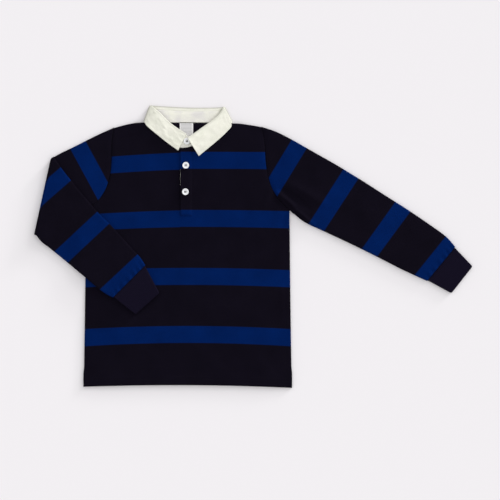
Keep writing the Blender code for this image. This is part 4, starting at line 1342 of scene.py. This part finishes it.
def collar_point(stance, d, depth, rise):
    """Place of a point of a cross section, given its distance from the roll line and its depth."""
    roll, edge = Vector(stance.band[:2]), Vector(stance.band[2:4])
    run = (edge - roll).normalized()
    plan = roll + run * d
    if stance.turn == 0.0:
        return (plan.x, plan.y, FOLD_HEIGHT + depth + rise)
    outward = Vector((run.y, -run.x))
    if outward.x * roll.x < 0:
        outward.negate()
    from_end = min(d, (edge - roll).length - d)
    round_off = math.sqrt(1 - 0.85 * min(max(1 - from_end / CORNER_ROUND, 0.0), 1.0) ** 2)
    plan = plan + outward * depth * math.sin(stance.turn) * round_off
    return (plan.x, plan.y, FOLD_HEIGHT + depth * math.cos(stance.turn) + rise)


# Painted shade on the twill at the collar's outline: a dark rim at the two corners, the widest one beside
# the right corner where the leaf curves down, and along the roll lines and the stand beside them: (rows,
# how dark, how wide)
PAINTED_EDGE_SHADE, PAINTED_EDGE_WIDTH = 0.50, 0.0034
PAINTED_SIDE_SHADE, PAINTED_SIDE_WIDTH = 0.20, 0.0200
PAINTED_ROLL_SHADES = (
    (LEAF_BACK, 0.55, 0.0026),
    (LEFT_LEAF_FRONT, 0.20, 0.0048),
    (RIGHT_LEAF_FRONT, 0.20, 0.0048),
)


def painted_collar_shade(x, y):
    """Painted shade on the twill at a point: at the outline along the top and the two corners, and by the
    roll lines.
    """
    darkest = 0.0
    for band in (LEFT_CORNER, RIGHT_CORNER):
        roll, edge = Vector(band[:2]), Vector(band[2:4])
        run = (edge - roll).normalized()
        out = 1 if band.roll_x > 0 else -1
        inward = FOLD_HEIGHT - (Vector((x, y)) - roll).dot(Vector((-run.y, run.x))) * out
        darkest = max(darkest, PAINTED_EDGE_SHADE * ease(1 - inward / PAINTED_EDGE_WIDTH))
        if band.roll_x < 0:
            darkest = max(darkest, PAINTED_SIDE_SHADE * ease(1 - inward / PAINTED_SIDE_WIDTH))
    for rows, shade, width in PAINTED_ROLL_SHADES:
        away = distance_to_path(x, y, [band[:2] for band in rows])
        darkest = max(darkest, shade * ease(1 - (away - 0.0002) / width))
    return darkest


def band_mesh(name, stances, profile_of, rise_of, material):
    """A closed strip through the cross sections of a collar piece, with rounded front ends."""
    rings, cloth, along_it, before = [], [], 0.0, None
    for stance in stances:
        line = profile_of(stance)
        loop = section_loop(line, TWILL)
        ring = []
        for d, depth, k in loop:
            plan_x, plan_y, level = collar_point(stance, d, depth, 0.0)
            ring.append((plan_x, plan_y, level + rise_of(stance, plan_x, plan_y, *line[k][:2])))
        middle = Vector(ring[len(line) // 2])
        along_it += (middle - before).length if before else 0.0
        before = middle
        rings.append(ring)
        cloth.append([(along_it, d) for d, depth, k in loop])
    count = len(rings[0])
    points = [point for ring in rings for point in ring]
    places = [place for row in cloth for place in row]

    def between(first, second):
        """Faces between two rings of points, by the number of each ring's first point."""
        pairs = [(k, (k + 1) % count) for k in range(count)]
        return [[first + k, first + m, second + m, second + k] for k, m in pairs]

    faces = []
    for i in range(len(rings) - 1):
        faces += between(i * count, (i + 1) * count)
    # Each end closes in two steps, rounded like the other edges
    for ring_at, order in ((0, -1), (len(rings) - 1, 1)):
        last = rings[ring_at]
        middle_at = len(profile_of(stances[ring_at])) // 2
        beyond = Vector(last[middle_at]) - Vector(rings[ring_at - order][middle_at])
        beyond = beyond.normalized() * TWILL * 0.35
        first = len(points)
        for k in range(count):
            middle = (Vector(last[k]) + Vector(last[(count - 5 - k) % count])) / 2
            points.append(tuple(Vector(last[k]).lerp(middle, 0.55) + beyond))
        places += cloth[ring_at]
        faces += between(ring_at * count, first)
        faces.append([first + k for k in range(count)])
    piece = mesh_from(name, points, faces, [[places[k] for k in face] for face in faces], material)
    # Painted shade for the twill at each point, at the collar's outline and roll lines
    painted_shades = [painted_collar_shade(vertex.co.x, vertex.co.y) for vertex in piece.data.vertices]
    piece.data.attributes.new("painted_shade", "FLOAT", "POINT").data.foreach_set("value", painted_shades)
    return piece, rings


def leaf_rolled(stance):
    """How far the leaf is rolled and tucked under at a cross line: not at all at its front ends."""
    if stance.turn > 0.0:
        return 1.0
    on_left = stance.band.roll_x > 0 and stance.lift > LEAF_LIFT_RIGHT
    start = LEFT_ROLL_START if on_left else RIGHT_ROLL_START
    return ease((abs(stance.band.roll_x) - start) / (ROLL_FULL - start))


def leaf_line(stance):
    """The leaf's profile at a cross line."""
    width = math.dist(stance.band[:2], stance.band[2:4])
    rolled = leaf_rolled(stance)
    full_tuck = SEAM_BELOW_ROLL - ROLL_RADIUS - TWILL / 2
    return leaf_profile(width, rolled, LEAST_TUCK + (full_tuck - LEAST_TUCK) * ease(2 * rolled - 1))


def leaf_rise(stance, x, y, d, depth):
    """The front's own height under the leaf, the lift of its front end, its puff and its crumple."""
    if stance.turn > 0.0:
        return 0.0
    upper = min(max((depth - STAND_MIDDLE) / (LEAF_MIDDLE - STAND_MIDDLE), 0.0), 1.0)
    share = d / math.dist(stance.band[:2], stance.band[2:4])
    lift = stance.lift * (1 - share**2) * (1 - stance.from_front) ** 2
    on_left = x > 0
    from_corner = distance_to_segment(x, y, *(LEFT_CORNER if on_left else RIGHT_CORNER))[0]
    base = (front_top(x, y) + GAP - FOLD_HEIGHT - LEAF_INNER) * ease(from_corner / CORNER_FADE)
    puff = PUFF_LEFT if on_left else PUFF_RIGHT
    puff *= math.exp(-(((share - PUFF_AT) / PUFF_SPREAD) ** 2)) * ease(from_corner / PUFF_REACH)
    puff *= ease(stance.from_front / 0.35)
    crumple = rumple(x, y, CRUMPLE_LEFT if on_left else CRUMPLE_RIGHT, CRUMPLE_SIZE)
    crumple = crumple * ease((1 - stance.from_front) * 5) * ease(share / 0.15)
    dent = STITCH_DENT * math.exp(-(((share - 0.85) / 0.035) ** 2))
    return upper * (base + lift + puff + max(crumple, -CRUMPLE_DEEPEST) - dent)


def stand_rise(stance, x, y, d, depth):
    """Soft upright ripples in the back of the stand, near the left corner."""
    if stance.turn < math.pi:
        return 0.0
    ripple = math.sin(2 * math.pi * (x - 0.0200) / RIPPLE_LENGTH)
    ripple = ripple * ease((x - 0.017) / 0.008) * ease((0.050 - x) / 0.012)
    broad = 0.5 + 0.5 * math.sin(x / 0.0130 + 0.8)
    return (RIPPLE_RISE * (ripple + 1.0) + BROAD_RISE * broad) * ease((d - SEAM_BELOW_ROLL) / 0.006)


def stand_line(stance):
    """The stand's profile at a cross line: below the roll, or from the roll line at its front ends."""
    width = math.dist(stance.band[:2], stance.band[2:4])
    if stance.turn > 0.0:
        return band_profile(width, SEAM_BELOW_ROLL + GAP)
    reach = stance.band.roll_x
    on_left = reach > -0.0115 and stance.lift == STAND_LEFT_MARK
    share = ease((reach - 0.0040) / 0.0150) if on_left else ease((-reach - 0.0180) / 0.0120)
    return band_profile(width, (SEAM_BELOW_ROLL + GAP) * share)


turns = [math.pi * i / CORNER_TURNS for i in range(1, CORNER_TURNS)]
twill = twill_material("cream_twill", CREAM, CREAM_SHADE)
inside_twill = twill_material("cream_twill_inside", CREAM_INSIDE, CREAM)
leaf_lifts = (LEAF_LIFT_LEFT, LEAF_LIFT_RIGHT)
leaf_stances = collar_stances(LEFT_LEAF_FRONT, LEAF_BACK, RIGHT_LEAF_FRONT, leaf_lifts, turns)
leaf, leaf_rings = band_mesh("collar_fold", leaf_stances, leaf_line, leaf_rise, twill)
stand_left = [neck_seam(band) for band in STAND_FRONT_LEFT]
stand_right = [neck_seam(band) for band in STAND_FRONT_RIGHT]
stand_stances = collar_stances(stand_left, STAND_BACK, stand_right, (STAND_LEFT_MARK, 0.0), turns)
stand = band_mesh("neck_stand", stand_stances, stand_line, stand_rise, inside_twill)[0]

# A row of stitches round the leaf's visible face, at a distance from its outer edge
leaf_row = []
for stance, ring in list(zip(leaf_stances, leaf_rings))[3:]:
    line = leaf_line(stance)
    at = line[-1][0] + TWILL / 2 - EDGE_STITCH
    k = min(range(len(line)), key=lambda n: abs(line[n][0] - at) + (1.0 if line[n][2] else 0.0))
    here = Vector(ring[k])
    leaf_row.append((here.x, here.y, here.z + 0.00003 * math.cos(stance.turn)))
cream_thread = thread_material("cream_thread", (0.80, 0.79, 0.72))
collar_stitches = stitch_rows("collar_stitches", [leaf_row], 0.0027, 0.0021, 0.00026, cream_thread)
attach(leaf, "root")
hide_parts("collar_leaf")
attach(stand, "root")
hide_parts("collar_stand")
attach(collar_stitches, "root")


# The placket: a strip of the jersey over the slit in the front, stitched down its edges and across
# its foot, with a facing of cream twill that just shows along its open edge.
PLACKET_RIGHT_X = 0.0076
PLACKET_LOW_Y = 0.0505
PLACKET_STITCH_IN = 0.0016
FOOT_ROWS = (0.0020, 0.0120)
SEWN_EDGE = 0.0040
OPEN_EDGE_RISE = 0.0013
FACING = 0.0005
FACING_SHOWN = 0.00028
FACING_LOW_Y, FACING_HIGH_Y = 0.0900, 0.1560


def placket_sewn(x, y):
    """0 at the two sewn edges, where the strip is pressed thin, and 1 away from them."""
    return ease(min(PLACKET_RIGHT_X - x, y - PLACKET_LOW_Y) / SEWN_EDGE)


def open_edge(x, y):
    """Rise of the strip's open edge, most beside the middle of its open stretch."""
    return OPEN_EDGE_RISE * ease(1 - (x - PLACKET_LEFT_X) / 0.0045) * ease((y - 0.06) / 0.03)


def placket_under(x, y):
    return front_top(x, y) + 0.0001 + (GAP - 0.0001) * placket_sewn(x, y) + open_edge(x, y)


def placket_top(x, y):
    return placket_under(x, y) + JERSEY * (0.12 + 0.88 * placket_sewn(x, y))


def strip_rows(left, right, low, high_at, across, up):
    rows = []
    for j in range(up + 1):
        row = []
        for i in range(across + 1):
            x = left + (right - left) * i / across
            row.append(Vector((x, low + (high_at(x) - low) * j / up)))
        rows.append(row)
    return rows


placket = cloth_panel(
    "button_placket",
    strip_rows(PLACKET_LEFT_X, PLACKET_RIGHT_X, PLACKET_LOW_Y, front_neck_y, 10, 60),
    placket_under,
    placket_top,
    body_stripes,
    jersey,
)
stitch_left_x = PLACKET_LEFT_X + PLACKET_STITCH_IN
stitch_right_x = PLACKET_RIGHT_X - PLACKET_STITCH_IN
placket_ys = [PLACKET_LOW_Y + FOOT_ROWS[0] + i * 0.00114 for i in range(100)]
placket_xs = [stitch_left_x + i * 0.00084 for i in range(21)]
placket_plans = [[(x, y) for y in placket_ys] for x in (stitch_left_x, stitch_right_x)]
placket_plans += [[(x, PLACKET_LOW_Y + up) for x in placket_xs] for up in FOOT_ROWS]
placket_rows = [[(x, y, placket_top(x, y) + 0.00005) for x, y in plan] for plan in placket_plans]
placket_stitches = stitch_rows("placket_stitches", placket_rows, 0.0028, 0.0021, 0.00020, navy_thread)
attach(placket, "root")
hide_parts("placket")
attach(placket_stitches, "root")


def facing_shown(y):
    """How far the facing peeps out beyond the strip's open edge, unevenly."""
    open_part = 0.2 + 0.8 * ease((y - 0.101) / 0.006) * ease((0.135 - y) / 0.008)
    return FACING_SHOWN * open_part * (1 + 0.25 * math.sin(y / 0.0031))


facing_rows = []
for j in range(61):
    y = FACING_LOW_Y + (FACING_HIGH_Y - FACING_LOW_Y) * j / 60
    start = PLACKET_LEFT_X - facing_shown(y)
    facing_rows.append([Vector((start + 0.0060 * i / 8, y)) for i in range(9)])
facing = cloth_panel(
    "placket_facing",
    facing_rows,
    lambda x, y: front_top(x, y) + 0.0002,
    lambda x, y: front_top(x, y) + 0.0002 + FACING,
    lambda x, y: (x, y),
    twill,
)
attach(facing, "root")


# The neck label: a plain piece of woven satin tape, sewn to the inside of the back just below the
# collar stand.
LABEL_CENTRE_X = -0.0023
LABEL_WIDTH = 0.0230
LABEL_TOP_Y = 0.2085
LABEL_LENGTH = 0.0270
WOVEN_LABEL = 0.0006
SATIN = (0.62, 0.61, 0.61)
SATIN_RIB, SATIN_BAR = 0.0005, 0.0062


def satin_material():
    """Woven satin tape: fine ribs across, brighter selvedges and soft tonal bars."""
    material, tree, shader = plain_material("label_satin", SATIN, 0.5)
    spot = add_node(tree, "ShaderNodeTexCoord").outputs["Object"]
    place = add_node(tree, "ShaderNodeSeparateXYZ", {"Vector": spot})
    rib = wave(tree, place.outputs["Y"], SATIN_RIB)
    off = reckon(tree, "ABSOLUTE", reckon(tree, "SUBTRACT", place.outputs["X"], LABEL_CENTRE_X))
    selvedge = ramp(tree, off, LABEL_WIDTH / 2 - 0.0028, LABEL_WIDTH / 2 - 0.0020)
    bar = reckon(tree, "MAXIMUM", wave(tree, place.outputs["Y"], SATIN_BAR), 0.0)
    bar = reckon(tree, "MULTIPLY", bar, reckon(tree, "SUBTRACT", 1.0, selvedge))
    tone = reckon(tree, "MULTIPLY_ADD", selvedge, 0.22, 1.0)
    tone = reckon(tree, "SUBTRACT", tone, reckon(tree, "MULTIPLY", bar, 0.10))
    # The ribs are darker in their grooves and lighter on their crests: painted shade and highlight
    dye(tree, shader, SATIN, reckon(tree, "MULTIPLY_ADD", rib, 0.03, tone))
    emboss(tree, shader, rib, 0.00004, 0.5)
    return material


def label_under(x, y):
    hang = 0.00025 * (1 - math.cos((LABEL_TOP_Y - y) / LABEL_LENGTH * math.pi)) / 2
    return back_top(x, y) + GAP + hang


def label_top(x, y):
    return label_under(x, y) + WOVEN_LABEL


label = cloth_panel(
    "neck_tag",
    strip_rows(
        LABEL_CENTRE_X - LABEL_WIDTH / 2,
        LABEL_CENTRE_X + LABEL_WIDTH / 2,
        LABEL_TOP_Y - LABEL_LENGTH,
        lambda x: LABEL_TOP_Y,
        24,
        28,
    ),
    label_under,
    label_top,
    lambda x, y: (x, y),
    satin_material(),
)
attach(label, "root")
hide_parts("neck_label")


# The buttons: turned from white resin, with a rim, a dish and four holes, and sewn on with navy
# thread. One is on the collar stand and two are on the placket.
BUTTON_RADIUS = 0.0056
BUTTON_HEIGHT = 0.0022
BUTTON_RIM = 0.0012
BUTTON_DISH = 0.0006
HOLE_RADIUS = 0.0008
HOLE_SPREAD = 0.0014
BUTTON_SIDES = 64
RESIN = (0.84, 0.85, 0.87)
BUTTON_THREAD = 0.00022
BUTTON_PLACES = [
    Point(-0.0013, 0.1776),
    Point(-0.0032, 0.1367),
    Point(-0.0038, 0.0918),
]


def resin_material():
    """Polished white resin with a faint cloudy grain."""
    material, tree, shader = plain_material("white_resin", RESIN, 0.25)
    dye(tree, shader, RESIN, reckon(tree, "MULTIPLY_ADD", mottle(tree, 300.0, 3.0), 0.12, 0.94))
    return material


def object_of(name, bm):
    """A new object of a shape built up in memory."""
    mesh = bpy.data.meshes.new(name)
    bm.to_mesh(mesh)
    bm.free()
    return placed(name, mesh)


def button_shape():
    """The turned button, its four holes cut through."""
    inner = BUTTON_RADIUS - BUTTON_RIM
    profile = [
        (0.0, BUTTON_HEIGHT - BUTTON_DISH),
        (inner - BUTTON_RIM, BUTTON_HEIGHT - BUTTON_DISH),
        (inner - BUTTON_RIM / 2, BUTTON_HEIGHT - 0.8 * BUTTON_DISH),
        (inner - BUTTON_RIM / 8, BUTTON_HEIGHT - 0.2 * BUTTON_DISH),
        (inner + BUTTON_RIM / 4, BUTTON_HEIGHT),
        (BUTTON_RADIUS - BUTTON_DISH / 2, BUTTON_HEIGHT - BUTTON_DISH / 8),
        (BUTTON_RADIUS - BUTTON_DISH / 8, BUTTON_HEIGHT - 0.6 * BUTTON_DISH),
        (BUTTON_RADIUS, BUTTON_HEIGHT / 2),
        (BUTTON_RADIUS - BUTTON_DISH / 2, BUTTON_HEIGHT / 6),
        (BUTTON_RADIUS - 1.4 * BUTTON_DISH, 0.0),
        (0.0, 0.0),
    ]
    bm = bmesh.new()
    rail = [bm.verts.new((x, 0.0, z)) for x, z in profile]
    edges = [bm.edges.new(pair) for pair in zip(rail, rail[1:])]
    full_turn = {"cent": (0, 0, 0), "axis": (0, 0, 1), "angle": 2 * math.pi, "steps": BUTTON_SIDES}
    bmesh.ops.spin(bm, geom=rail + edges, use_merge=True, **full_turn)
    bmesh.ops.remove_doubles(bm, verts=bm.verts, dist=1e-6)
    bmesh.ops.recalc_face_normals(bm, faces=bm.faces)
    blank = object_of("button_blank", bm)
    drills = bmesh.new()
    for i in range(4):
        angle = math.pi / 4 + i * math.pi / 2
        bit = {"radius1": HOLE_RADIUS, "radius2": HOLE_RADIUS, "depth": 3 * BUTTON_HEIGHT}
        made = bmesh.ops.create_cone(drills, cap_ends=True, segments=20, **bit)
        shift = Vector((HOLE_SPREAD * math.cos(angle), HOLE_SPREAD * math.sin(angle), 0.0))
        bmesh.ops.translate(drills, verts=made["verts"], vec=shift)
    drill = object_of("drills", drills)
    cut = blank.modifiers.new("holes", "BOOLEAN")
    cut.operation, cut.object = "DIFFERENCE", drill
    graph = bpy.context.evaluated_depsgraph_get()
    shape = bpy.data.meshes.new_from_object(blank.evaluated_get(graph))
    bpy.data.objects.remove(blank)
    bpy.data.objects.remove(drill)
    return shape


def thread_loop(start, end, rise):
    """A strand from hole to hole, bowed up over the button's dish."""
    points = []
    for k in range(13):
        up = rise * math.sin(math.pi * (k / 12)) - 0.0004
        points.append(start.lerp(end, k / 12) + Vector((0, 0, up)))
    return points


resin = resin_material()
button_mesh = button_shape()
for number, spot in enumerate(BUTTON_PLACES, start=1):
    steps = (-BUTTON_RADIUS, 0, BUTTON_RADIUS)
    around = [(spot.x + step_x, spot.y + step_y) for step_x in steps for step_y in steps]
    on_stand = spot.y > front_neck_y(spot.x)
    seat = NECK_UNDER + TWILL if on_stand else max(placket_top(x, y) for x, y in around)
    foot = Vector((spot.x, spot.y, seat + GAP))
    shape = button_mesh.copy()
    for vertex in shape.vertices:
        vertex.co += foot
    shape.materials.clear()
    shape.materials.append(resin)
    shape.shade_smooth()
    shape.set_sharp_from_angle(angle=math.radians(50))
    button = placed(f"shirt_button_{number}", shape)
    dish = foot + Vector((0, 0, BUTTON_HEIGHT - BUTTON_DISH + 0.0002))
    reach = HOLE_SPREAD * math.sqrt(0.5)
    strands = []
    for side in (-1, 1):
        for beside in (-BUTTON_THREAD, BUTTON_THREAD):
            start = dish + Vector((side * reach + beside, -reach, 0))
            end = dish + Vector((side * reach + beside, reach, 0))
            strands.append(thread_loop(start, end, 0.0006))
    thread_curve = bpy.data.curves.new("button_thread", "CURVE")
    thread_curve.dimensions = "3D"
    thread_curve.bevel_depth = BUTTON_THREAD
    thread_curve.bevel_resolution = 2
    thread_curve.use_fill_caps = True
    for strand in strands:
        spline = thread_curve.splines.new("POLY")
        spline.points.add(len(strand) - 1)
        for point, co in zip(spline.points, strand):
            point.co = (*co, 1.0)
    strand_guide = placed("thread_guide", thread_curve)
    graph = bpy.context.evaluated_depsgraph_get()
    sewn_mesh = bpy.data.meshes.new_from_object(strand_guide.evaluated_get(graph))
    bpy.data.objects.remove(strand_guide)
    sewn_mesh.materials.clear()
    sewn_mesh.materials.append(navy_thread)
    sewing = placed(f"button_thread_{number}", sewn_mesh)
    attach(button, "root")
    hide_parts(f"button_{number}")
    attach(sewing, "root")
